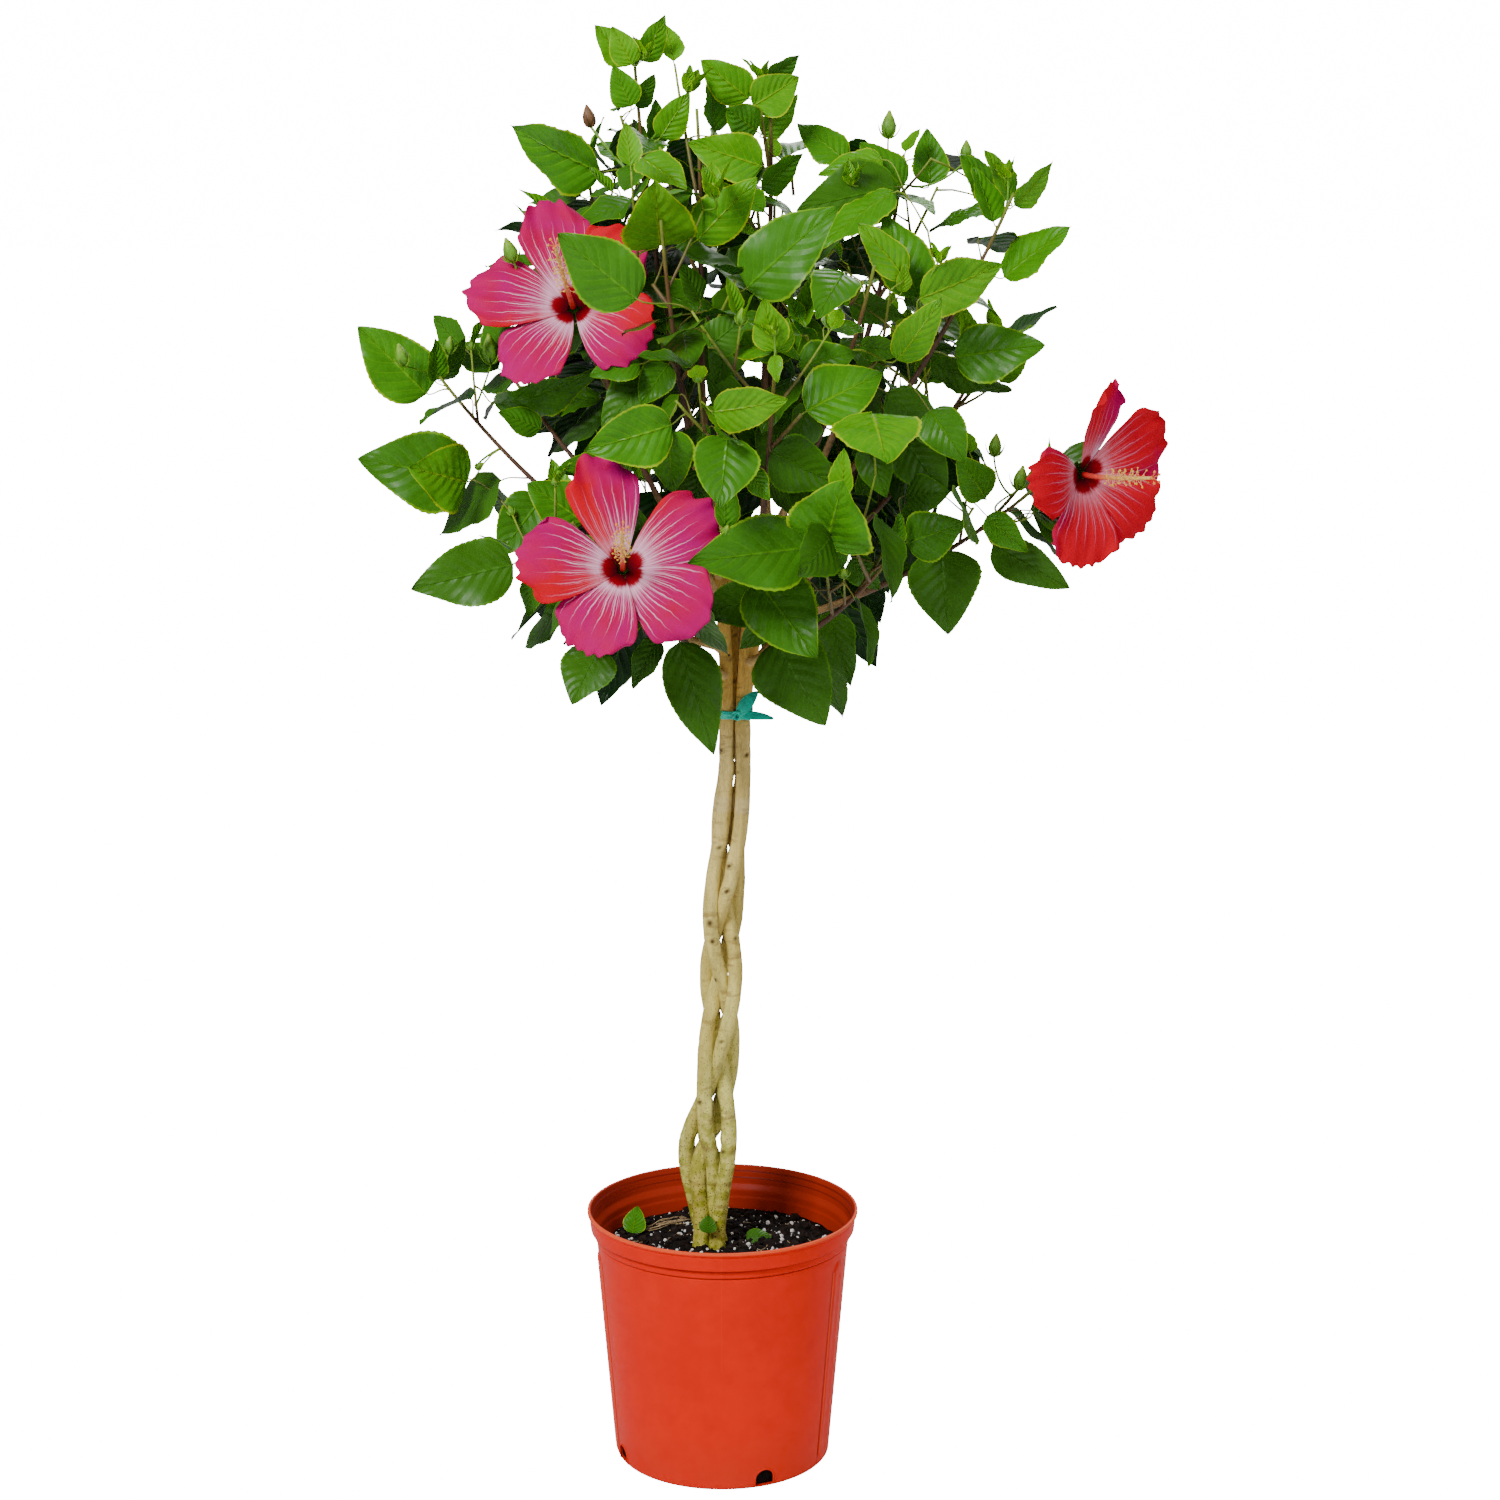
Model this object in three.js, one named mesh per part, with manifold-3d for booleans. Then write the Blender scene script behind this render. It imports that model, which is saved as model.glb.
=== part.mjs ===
// A hibiscus grown as a small standard: four braided stems in a nursery pot carry an open, round crown.
// Millimetres, +Z up, the origin at the centre of the pot's flat underside, -Y towards the viewer.
// The crown is worked out by one seeded rule from the table of shoots below.

import * as THREE from 'three';
import { mergeVertices } from 'three/addons/utils/BufferGeometryUtils.js';
import Module from 'manifold-3d';

const wasm = await Module();
wasm.setup();

// Driving dimensions: the pot, a ten-inch nursery pot, and what it is filled with
const POT_HEIGHT = 240;
const RIM_RADIUS = 127;
const BASE_RADIUS = 100.7;
const SHOULDER_RADIUS = 118.3;
const SHOULDER_HEIGHT = 211;
const STEP = { out: 1.2, rise: 2.5 };
const BAND = { height: 19.5, foot: 3.4, rise: 1.2, wall: 2.2, inside: 3 };
const LIP = { out: 1.8, height: 4.5, chamfer: 1.5, thickness: 3.2 };
const WALL = 1.8;
const FLOOR = 2.2;
const FOOT_ROUND = 2.5;
const SOIL_ROUND = 3.4;
const POT_SIDES = 28;
const DRAIN = { count: 4, first: 22.8, width: 18.5, sill: 2.6, height: 16, arc: 4, inset: 12, depth: 20 };
const SOIL_EDGE = 199;
const SOIL_TOP = 204;
const SOIL_FLAT_RADIUS = 45;
const SEAT = 0.3;

// Driving dimensions: the braid, one value for each of the named heights. The turn is in degrees; the
// width is how far the stems swing to the sides, the depth how far the outer ones stand forward or back,
// and the pass how far two stems keep apart where one crosses in front of the other
const FOOT = SOIL_TOP + SEAT;
const FORK = 860;
const KNOTS = [FOOT, 231, 285, 365, 456, 537, 605, 660, 715, 780, FORK];
const BRAID_TURN = [323.8, 302.6, 288, 206.7, 103.5, -0.8, -53.9, -46, -45, -45, -45];
const BRAID_WIDTH = [10.6, 12.2, 20.4, 13.3, 13.3, 12.3, 12.4, 11.5, 11.2, 18, 31];
const BRAID_DEPTH = [11.3, 10.3, 12, 12.5, 11.9, 12.2, 12.5, 12.5, 11.3, 15.6, 27.6];
const BRAID_PASS = [4, 3.9, 7.4, 9.2, 9.4, 8.5, 3.9, 1, 0, 0, 0];
const BRAID_X = [-11.7, -13.7, -15.2, -4.9, -1.3, 1.6, 6.8, 11.6, 12.4, 16.4, 21.5];
const STEM_RADIUS = [6.6, 6.55, 6.4, 6.1, 6, 5.9, 5.8, 5.5, 5.35, 5.2, 4.8];
const STEM_SIDES = 7;
const STEM_STEPS = 28;
const ROOT_FLARE = 0.12;
const ROOT_FLARE_HEIGHT = 22;

// Driving dimensions: limbs and foliage
const CROWN_X = 21;
const CROWN_HEIGHT = 930;
const BOUGH_SIDES = 5;
const BOUGH_STEPS = 4;
const MASS_STEPS = 5;
const SIDE_STEPS = 3;
const TWIG_SIDES = 3;
const LIMB_ROOT = 4.3;
const LIMB_TIP = 1.4;
const SIDE = { root: 2, tip: 1.2, length: 135, bare: 0.16, spread: 42, spread_more: 50, lift: 4, rise: 14 };
const INTERNODE = 27;
const LEAF = { length: 91, half_width: 0.32, thickness: 1.5, vary: 0.28, roll: 76, petiole: 0.42, stem: 0.85 };
const HANG = { low: -80, high: 60, per_height: 0.11, level: 780, per_reach: 0.13, tip: 75, vary: 36 };
const GOLDEN_TURN = 137.5;
const CLEARANCE = 0.4;

// The crown, shoot by shoot: its name, the stem that carries it (0 back left, 1 front left, 2 front
// right, 3 back right) and the height where its bough leaves that stem; then where its tip stands, as a
// bearing round the crown's axis (0 right, 90 back, 180 left, 270 front), a reach from it and a height;
// then the share of the limb that is bare bough, the degrees by which it curves upwards, the number of
// its side shoots and the size of its leaves
const SHOOTS = [
  ['top_left', 0, 858, 168, 99, 1290, 0.40, 10, 2, 0.86],
  ['top_middle', 1, 858, 205, 46, 1252, 0.42, 8, 2, 0.86],
  ['top_right', 3, 858, 50, 34, 1272, 0.40, 8, 3, 0.9],
  ['upper_right', 3, 838, 20, 152, 1212, 0.40, 12, 3, 0.88],
  ['right_long', 2, 834, 350, 238, 1180, 0.42, 10, 1, 0.92],
  ['right_side', 3, 800, 12, 226, 1040, 0.42, 14, 2, 0.98],
  ['right_low', 2, 790, 355, 262, 922, 0.42, 14, 2, 0.95],
  ['front_right_high', 2, 858, 306, 186, 1122, 0.42, 12, 2, 0.96],
  ['front_middle', 2, 820, 277, 212, 1050, 0.42, 12, 3, 1],
  ['front_left_high', 1, 840, 244, 160, 1160, 0.42, 10, 2, 0.95],
  ['left_bloom', 1, 822, 208, 158, 1090, 0.42, 12, 1, 0.95],
  ['left_long', 1, 802, 181, 272, 1018, 0.42, 12, 1, 1.05],
  ['left_upper', 0, 812, 164, 232, 1030, 0.42, 12, 1, 0.95],
  ['upper_left', 0, 834, 150, 165, 1196, 0.40, 12, 2, 0.92],
  ['left_low', 1, 775, 190, 208, 866, 0.42, 14, 2, 1],
  ['front_left_low', 1, 748, 238, 168, 862, 0.42, 14, 2, 0.98],
  ['front_right_low', 2, 760, 318, 172, 872, 0.42, 14, 3, 1],
  ['back_high', 3, 818, 80, 160, 1170, 0.42, 12, 3, 0.95],
  ['back_left', 0, 790, 118, 226, 1050, 0.42, 13, 3, 1],
  ['back_right', 3, 780, 50, 230, 1020, 0.42, 13, 3, 1],
  ['back_left_low', 0, 762, 130, 188, 868, 0.42, 14, 3, 1],
  ['back_right_low', 3, 752, 62, 185, 872, 0.42, 14, 3, 1],
].map(([name, stem, leaves, bearing, reach, height, enter, bend, side, size]) => (
  { name, stem, leaves, bearing, reach, height, enter, bend, side, size }));

// The open flowers: the shoot that carries each and how far along it; the centre as bearing, reach and
// height; the way it faces as a bearing and a rise; its radius and its turn about its own axis
const BLOOMS = [
  ['bloom_upper_left', 'left_bloom', 0.72, 216, 185, 1094, 262, 30, 85, 37],
  ['bloom_front', 'front_left_low', 0.8, 243, 225, 877, 272, 22, 87, 51],
  ['bloom_right', 'right_low', 0.9, 348, 318, 934, 306, -4, 82, 16],
].map(([name, shoot, at, bearing, reach, height, faces, rise, radius, turn]) => (
  { name, shoot, at, bearing, reach, height, faces, rise, radius, turn }));
const PETALS = 5;
const PETAL = { half_width: 0.46, thickness: 1.6, throat: 24, root: 2.5, long_steps: 3, cross_steps: 2 };
const COLUMN = { length: 66, radius: 2.6, lift: 0.16, calyx: 7, calyx_depth: 40, sides: 5, steps: 6 };
const FLOWER_STALK = { root: 1.7, tip: 2.5, steps: 4 };

const UP = new THREE.Vector3(0, 0, 1);
const SIDE_REFERENCE = new THREE.Vector3(0, 0.86, -0.51).normalize();
const radians = THREE.MathUtils.degToRad;

// Solids from closed geometry, and back

function solidFrom(positions, triangles) {
  return new wasm.Manifold(new wasm.Mesh({
    numProp: 3,
    vertProperties: new Float32Array(positions),
    triVerts: new Uint32Array(triangles),
  }));
}

function toSolid(source) {
  const bare = source.clone();
  bare.deleteAttribute('normal');
  bare.deleteAttribute('uv');
  const merged = mergeVertices(bare, 1e-4);
  const index = merged.getIndex().array;
  const kept = [];
  for (let i = 0; i < index.length; i += 3) {
    const [a, b, c] = [index[i], index[i + 1], index[i + 2]];
    if (a !== b && b !== c && c !== a) kept.push(a, b, c);
  }
  return solidFrom(merged.getAttribute('position').array, kept);
}

function toGeometry(solid) {
  const mesh = solid.getMesh();
  const shape = new THREE.BufferGeometry();
  shape.setAttribute('position', new THREE.BufferAttribute(new Float32Array(mesh.vertProperties), 3));
  shape.setIndex(new THREE.BufferAttribute(new Uint32Array(mesh.triVerts), 1));
  shape.computeVertexNormals();
  return shape;
}

// The largest piece of a fused solid, with sealed hollows filled and loose scraps dropped
function soundBody(solid) {
  const pieces = solid.simplify(0.02).decompose();
  return pieces.reduce((best, piece) => (piece.volume() > best.volume() ? piece : best));
}

// Numbers that vary smoothly from knot to knot of a table, by cubic Hermite pieces
function along(knots, values, place) {
  let i = 0;
  while (i < knots.length - 2 && place > knots[i + 1]) i++;
  const slope = (k) => {
    const [low, high] = [Math.max(k - 1, 0), Math.min(k + 1, knots.length - 1)];
    return (values[high] - values[low]) / (knots[high] - knots[low]);
  };
  const span = knots[i + 1] - knots[i];
  const t = (place - knots[i]) / span;
  const [t2, t3] = [t * t, t * t * t];
  return (2 * t3 - 3 * t2 + 1) * values[i] + (t3 - 2 * t2 + t) * span * slope(i)
    + (3 * t2 - 2 * t3) * values[i + 1] + (t3 - t2) * span * slope(i + 1);
}

// Park and Miller's generator, warmed up so that neighbouring seeds differ
function drawsFrom(...keys) {
  let state = keys.reduce((sum, key, i) => sum + (key + 1) * [7919, 613, 97][i], 1);
  const draw = () => {
    state = (state * 16807) % 2147483647;
    return state / 2147483647;
  };
  draw();
  draw();
  draw();
  return draw;
}

// A unit vector from a level bearing and a rise, both in radians
function heading(bearing, rise) {
  const level = Math.cos(rise);
  return new THREE.Vector3(level * Math.cos(bearing), level * Math.sin(bearing), Math.sin(rise));
}

// Two directions square to a tangent, so that across, tangent and over are right-handed
function squareTo(tangent) {
  const across = tangent.clone().cross(SIDE_REFERENCE).normalize();
  return { across, over: across.clone().cross(tangent) };
}

function levelFrame() {
  return { across: new THREE.Vector3(1, 0, 0), over: new THREE.Vector3(0, -1, 0) };
}

// A closed cylinder bent along part of a curve, with a radius that changes on the way
function sweep(curve, radiusAt, sides, steps, { from = 0, to = 1, frame = squareTo } = {}) {
  const tube = new THREE.CylinderGeometry(1, 1, 1, sides, steps);
  const place = tube.getAttribute('position');
  for (let i = 0; i < place.count; i++) {
    const t = from + (to - from) * (place.getY(i) + 0.5);
    const { across, over } = frame(curve.getTangent(t));
    const radius = radiusAt(t);
    const point = curve.getPoint(t)
      .addScaledVector(across, place.getX(i) * radius)
      .addScaledVector(over, place.getZ(i) * radius);
    place.setXYZ(i, point.x, point.y, point.z);
  }
  return toSolid(tube);
}

// The pot: a thin tapering wall with a stepped rim band, a flat floor and four drain arches

function potProfile() {
  const band = POT_HEIGHT - BAND.height;
  const lip = POT_HEIGHT - LIP.height;
  const outer = [
    [0, 0], [BASE_RADIUS - FOOT_ROUND, 0], [BASE_RADIUS, FOOT_ROUND],
    [SHOULDER_RADIUS, SHOULDER_HEIGHT], [SHOULDER_RADIUS + STEP.out, SHOULDER_HEIGHT + STEP.rise],
    [SHOULDER_RADIUS + STEP.out, band], [RIM_RADIUS - BAND.foot, band + BAND.rise],
    [RIM_RADIUS - LIP.out, lip - LIP.chamfer], [RIM_RADIUS, lip], [RIM_RADIUS, POT_HEIGHT],
  ];
  const inner = [
    [RIM_RADIUS - LIP.thickness, POT_HEIGHT], [RIM_RADIUS - BAND.foot - BAND.wall, band + BAND.inside],
    [SHOULDER_RADIUS - WALL + SEAT, band - BAND.inside], [SHOULDER_RADIUS - WALL, SHOULDER_HEIGHT],
    [BASE_RADIUS - WALL, FLOOR + FOOT_ROUND], [BASE_RADIUS - WALL - FOOT_ROUND, FLOOR], [0, FLOOR],
  ];
  return [...outer, ...inner].map(([radius, height]) => new THREE.Vector2(radius, height));
}

function turned(profile, sides) {
  return toSolid(new THREE.LatheGeometry(profile, sides).rotateX(Math.PI / 2));
}

function drainCutter(turn) {
  const arch = new THREE.Shape();
  const half = DRAIN.width / 2;
  arch.moveTo(-half, DRAIN.sill);
  arch.lineTo(half, DRAIN.sill);
  arch.lineTo(half, DRAIN.sill + DRAIN.height - half);
  arch.absarc(0, DRAIN.sill + DRAIN.height - half, half, 0, Math.PI, false);
  arch.closePath();
  const cutter = new THREE.ExtrudeGeometry(arch, {
    depth: DRAIN.depth, bevelEnabled: false, curveSegments: DRAIN.arc,
  });
  cutter.rotateX(Math.PI / 2).rotateZ(Math.PI / 2).translate(BASE_RADIUS - DRAIN.inset, 0, 0).rotateZ(turn);
  return toSolid(cutter);
}

function makePot() {
  let pot = turned(potProfile(), POT_SIDES);
  for (let i = 0; i < DRAIN.count; i++) {
    pot = pot.subtract(drainCutter(radians(DRAIN.first - 90 + i * 360 / DRAIN.count)));
  }
  return soundBody(pot);
}

// The potting mix fills the pot to just below the rim band, with a level place for the stems
function makeSoil() {
  const slope = (SHOULDER_RADIUS - BASE_RADIUS) / (SHOULDER_HEIGHT - FOOT_ROUND);
  const wallAt = (height) => BASE_RADIUS - WALL + slope * (height - FLOOR - FOOT_ROUND) - 2 * SEAT;
  const floor = FLOOR + SEAT;
  const profile = [
    [0, floor], [BASE_RADIUS - WALL - SOIL_ROUND, floor], [wallAt(FLOOR + SOIL_ROUND), FLOOR + SOIL_ROUND],
    [wallAt(SOIL_EDGE), SOIL_EDGE], [SOIL_FLAT_RADIUS, SOIL_TOP], [0, SOIL_TOP],
  ];
  return turned(profile.map(([radius, height]) => new THREE.Vector2(radius, height)), POT_SIDES);
}

// The four stems: two turn one way round and two the other, a quarter turn apart, and pass by turns in
// front of and behind one another

class Stem extends THREE.Curve {
  constructor(order) {
    super();
    this.order = order;
  }

  atHeight(z) {
    const turn = radians(along(KNOTS, BRAID_TURN, z) - 90 * this.order);
    const hand = this.order % 2 ? -1 : 1;
    const aside = along(KNOTS, BRAID_WIDTH, z) * Math.sin(turn);
    const back = along(KNOTS, BRAID_PASS, z) * Math.cos(turn) - along(KNOTS, BRAID_DEPTH, z) * Math.sin(turn);
    return new THREE.Vector3(along(KNOTS, BRAID_X, z) + aside, hand * back, z);
  }

  getPoint(t) {
    return this.atHeight(FOOT + (FORK - FOOT) * t);
  }
}

function stemSolid(stem, grow = 0) {
  const radiusAt = (t) => {
    const height = (FORK - FOOT) * t;
    const flare = ROOT_FLARE * Math.max(0, 1 - height / ROOT_FLARE_HEIGHT) ** 2;
    return along(KNOTS, STEM_RADIUS, FOOT + height) * (1 + flare) + grow;
  };
  return sweep(stem, radiusAt, STEM_SIDES, STEM_STEPS, { frame: levelFrame });
}

// The tape tie round the four stems, with its knot and two tails
const TIE = { height: 713, depth: 7, reach_x: 7.8, reach_y: 6.1, round: 6.4, tape: 1.3 };
const KNOT = { width: 9, depth: 5, height: 9, x: 2, out: 1.5 };
const TAIL = { length: 26, thickness: 1.4, width: 7, x: 3, out: 2, rises: [62, -8], leans: [-0.2, -0.1] };

function roundedBox(half_x, half_y, round) {
  const shape = new THREE.Shape();
  const [x, y] = [half_x - round, half_y - round];
  shape.absarc(x, y, round, 0, Math.PI / 2, false);
  shape.absarc(-x, y, round, Math.PI / 2, Math.PI, false);
  shape.absarc(-x, -y, round, Math.PI, 1.5 * Math.PI, false);
  shape.absarc(x, -y, round, 1.5 * Math.PI, 2 * Math.PI, false);
  shape.closePath();
  return shape;
}

function makeTie(stems) {
  const centre = stems.reduce((sum, stem) => sum.add(stem.atHeight(TIE.height).multiplyScalar(0.25)),
    new THREE.Vector3());
  const roundThem = (gap, depth) => {
    const outline = roundedBox(TIE.reach_x + TIE.round + gap, TIE.reach_y + TIE.round + gap, TIE.round + gap);
    const shape = new THREE.ExtrudeGeometry(outline, { depth, bevelEnabled: false, curveSegments: 3 });
    return toSolid(shape.translate(centre.x, centre.y, TIE.height - depth / 2));
  };
  let tie = roundThem(TIE.tape, TIE.depth).subtract(roundThem(0, 3 * TIE.depth));
  const front = centre.y - TIE.reach_y - TIE.round - TIE.tape;
  const knot = new THREE.BoxGeometry(KNOT.width, KNOT.depth, KNOT.height);
  tie = tie.add(toSolid(knot.translate(centre.x + KNOT.x, front - KNOT.out, TIE.height)));
  TAIL.rises.forEach((rise, i) => {
    const tail = new THREE.BoxGeometry(TAIL.length, TAIL.thickness, TAIL.width);
    tail.translate(TAIL.length / 2, 0, 0).rotateY(-radians(rise)).rotateZ(TAIL.leans[i]);
    tie = tie.add(toSolid(tail.translate(centre.x + TAIL.x, front - TAIL.out, TIE.height)));
  });
  for (const stem of stems) tie = tie.subtract(stemSolid(stem, SEAT));
  return soundBody(tie);
}

// A limb runs from its stem to its shoot's tip: bare bough first, then the stem of its mass of foliage

function crownPoint(row) {
  const level = heading(radians(row.bearing), 0).multiplyScalar(row.reach);
  return level.add(new THREE.Vector3(CROWN_X, 0, row.height));
}

function limbCurve(row, stems) {
  const start = stems[row.stem].atHeight(row.leaves);
  const tip = crownPoint(row);
  const chord = tip.clone().sub(start);
  const span = chord.length();
  const level = Math.atan2(chord.y, chord.x);
  const rise = Math.asin(chord.z / span);
  const bend = radians(row.bend);
  const inner = start.clone().addScaledVector(heading(level, rise - bend), span * 0.34);
  const outer = tip.clone().addScaledVector(heading(level, Math.min(rise + bend, 1.5)), -span * 0.34);
  return new THREE.CubicBezierCurve3(start, inner, outer, tip);
}

const limbRadius = (t) => LIMB_ROOT + (LIMB_TIP - LIMB_ROOT) * t ** 0.8;

// Side shoots spread to the left and right of their limb in turn, and curve up
function sideShoots(main, row, order) {
  const shoots = [];
  for (let j = 0; j < row.side; j++) {
    const draw = drawsFrom(order, 90 + j, 0);
    const at = row.enter + (1 - row.enter) * (0.1 + 0.66 * (j + 0.5) / row.side + 0.06 * draw());
    const tangent = main.getTangent(at);
    const side = (j + order) % 2 ? 1 : -1;
    const spread = radians(SIDE.spread + SIDE.spread_more * draw());
    const bearing = Math.atan2(tangent.y, tangent.x) + side * spread;
    const rise = 0.55 * Math.asin(tangent.z) + radians(SIDE.lift + SIDE.rise * draw());
    const length = SIDE.length * (0.7 + 0.5 * draw()) * (1.1 - 0.4 * at);
    const origin = main.getPoint(at);
    const way = heading(bearing, rise);
    const bend = origin.clone().addScaledVector(way, length * 0.5);
    const tip = origin.clone().addScaledVector(way, length).addScaledVector(UP, length * 0.2);
    const curve = new THREE.QuadraticBezierCurve3(origin, bend, tip);
    shoots.push({ curve, bare: SIDE.bare, number: j + 1 });
  }
  return shoots;
}

// The leaves of one shoot: a spiral of nodes that crowd towards the tip, where leaves are small and rise
function leavesOn(shoot, row, order) {
  const length = shoot.curve.getLength() * (1 - shoot.bare);
  const count = Math.round(length / INTERNODE);
  const leaves = [];
  for (let k = 0; k < count; k++) {
    const draw = drawsFrom(order, shoot.number, k);
    const share = (k + 0.5) / count;
    const t = shoot.bare + (1 - shoot.bare) * (1 - (1 - share) ** 1.25);
    const node = shoot.curve.getPoint(t);
    const tangent = shoot.curve.getTangent(t);
    const { across, over } = squareTo(tangent);
    const turn = radians(GOLDEN_TURN * k + 70 * shoot.number + 40 * draw());
    const side = across.multiplyScalar(Math.cos(turn)).addScaledVector(over, Math.sin(turn));
    const lift = radians(62 - 30 * share ** 2);
    const stalk = tangent.multiplyScalar(Math.cos(lift)).addScaledVector(side, Math.sin(lift));
    const long = LEAF.length * row.size * (1 - 0.42 * share ** 3) * (1 + LEAF.vary * (draw() - 0.5));
    const base = node.clone().addScaledVector(stalk, long * (LEAF.petiole - 0.26 * share ** 2));
    const outward = new THREE.Vector3(base.x - CROWN_X, base.y, 0);
    const reach = outward.length();
    const pull = 0.75 * Math.min(1, reach / 140);
    outward.normalize();
    const raised = HANG.per_height * (base.z - HANG.level) + HANG.per_reach * reach + HANG.tip * share ** 4;
    const pitch = HANG.low + raised + HANG.vary * (draw() - 0.5);
    const face = new THREE.Vector3(stalk.x, stalk.y, 0).normalize().addScaledVector(outward, pull);
    const held = radians(THREE.MathUtils.clamp(pitch, HANG.low, HANG.high));
    const blade = heading(Math.atan2(face.y, face.x), held);
    const radial = new THREE.Vector3(base.x - CROWN_X, base.y, base.z - CROWN_HEIGHT).normalize();
    const normal = UP.clone().multiplyScalar(0.5).add(radial);
    normal.addScaledVector(blade, -normal.dot(blade)).normalize();
    normal.applyAxisAngle(blade, radians(LEAF.roll * (draw() - 0.5)));
    const curl = 0.05 + 0.12 * draw();
    leaves.push({ node, base, blade, normal, length: long, curl, twig: shoot.radiusAt(t) });
  }
  return leaves;
}

// One leaf: a three-sided stalk that opens into a thin, curled blade with a pointed tip and a keel below
function leafSolid(leaf) {
  const left = leaf.normal.clone().cross(leaf.blade);
  const stalkWay = leaf.base.clone().sub(leaf.node).normalize();
  const stalkLeft = leaf.normal.clone().cross(stalkWay).normalize();
  const stalkUp = stalkWay.clone().cross(stalkLeft);
  const ring = (centre, radius) => [[0.87, 0.5], [-0.87, 0.5], [0, -1]].map(([x, z]) => centre.clone()
    .addScaledVector(stalkLeft, x * radius).addScaledVector(stalkUp, z * radius));
  const half = LEAF.half_width * leaf.length;
  const onBlade = (far, wide, up = 0) => leaf.base.clone()
    .addScaledVector(leaf.blade, far * leaf.length)
    .addScaledVector(left, wide * half)
    .addScaledVector(leaf.normal, up - leaf.curl * leaf.length * far ** 2);
  const points = [
    ...ring(leaf.node, Math.min(LEAF.stem, 0.42 * leaf.twig)), ...ring(leaf.base, LEAF.stem),
    onBlade(0.18, 0.78), onBlade(0.52, 0.95), onBlade(1, 0), onBlade(0.52, -0.95), onBlade(0.18, -0.78),
    onBlade(0.38, 0, -LEAF.thickness),
  ];
  const [rootLeft, rootRight, rootLow, baseLeft, baseRight, baseLow] = [0, 1, 2, 3, 4, 5];
  const [leftLow, leftHigh, tip, rightHigh, rightLow, keel] = [6, 7, 8, 9, 10, 11];
  const rim = [baseRight, rightLow, rightHigh, tip, leftHigh, leftLow, baseLeft, baseLow, baseRight];
  const faces = [
    rootLeft, rootLow, rootRight, rootRight, baseRight, baseLeft, rootRight, baseLeft, rootLeft,
    rootLeft, baseLeft, baseLow, rootLeft, baseLow, rootLow,
    rootLow, baseLow, baseRight, rootLow, baseRight, rootRight,
    baseLeft, baseRight, rightLow, baseLeft, rightLow, leftLow,
    leftLow, rightLow, rightHigh, leftLow, rightHigh, leftHigh, leftHigh, rightHigh, tip,
  ];
  for (let i = 0; i < rim.length - 1; i++) faces.push(keel, rim[i + 1], rim[i]);
  return solidFrom(points.flatMap((point) => point.toArray()), faces);
}

// An open flower: five broad petals in a shallow funnel round a long column, on its own stalk

function petalSolid(place, flower, turn) {
  const { axis, across, over } = flower;
  const outward = across.clone().multiplyScalar(Math.cos(turn)).addScaledVector(over, Math.sin(turn));
  const sideways = axis.clone().cross(outward);
  const [rows, columns] = [PETAL.long_steps + 1, PETAL.cross_steps + 1];
  const surface = (s, w, up) => {
    const reach = PETAL.root + (flower.radius - PETAL.root) * s * (1 - 0.16 * w * w * s);
    const wide = w * PETAL.half_width * flower.radius * s ** 0.75 * (1.25 - 0.35 * s);
    const height = -PETAL.throat * (1 - s) ** 2 + 5 * s * w - 7 * s ** 4;
    return place.clone().addScaledVector(outward, reach).addScaledVector(sideways, wide)
      .addScaledVector(axis, height + up);
  };
  const points = [];
  for (const up of [PETAL.thickness / 2, -PETAL.thickness / 2]) {
    for (let i = 0; i < rows; i++) {
      for (let j = 0; j < columns; j++) {
        points.push(surface(i === 0 ? 0.02 : i / PETAL.long_steps, (2 * j) / PETAL.cross_steps - 1, up));
      }
    }
  }
  const half = rows * columns;
  const faces = [];
  for (let i = 0; i < rows - 1; i++) {
    for (let j = 0; j < columns - 1; j++) {
      const [a, b] = [i * columns + j, (i + 1) * columns + j];
      faces.push(a, b, b + 1, a, b + 1, a + 1);
      faces.push(half + a, half + b + 1, half + b, half + a, half + a + 1, half + b + 1);
    }
  }
  const border = [];
  for (let j = 0; j < columns - 1; j++) border.push(j);
  for (let i = 0; i < rows - 1; i++) border.push(i * columns + columns - 1);
  for (let j = columns - 1; j > 0; j--) border.push((rows - 1) * columns + j);
  for (let i = rows - 1; i > 0; i--) border.push(i * columns);
  for (let i = 0; i < border.length; i++) {
    const [a, b] = [border[i], border[(i + 1) % border.length]];
    faces.push(a, b, half + b, a, half + b, half + a);
  }
  return solidFrom(points.flatMap((point) => point.toArray()), faces);
}

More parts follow.
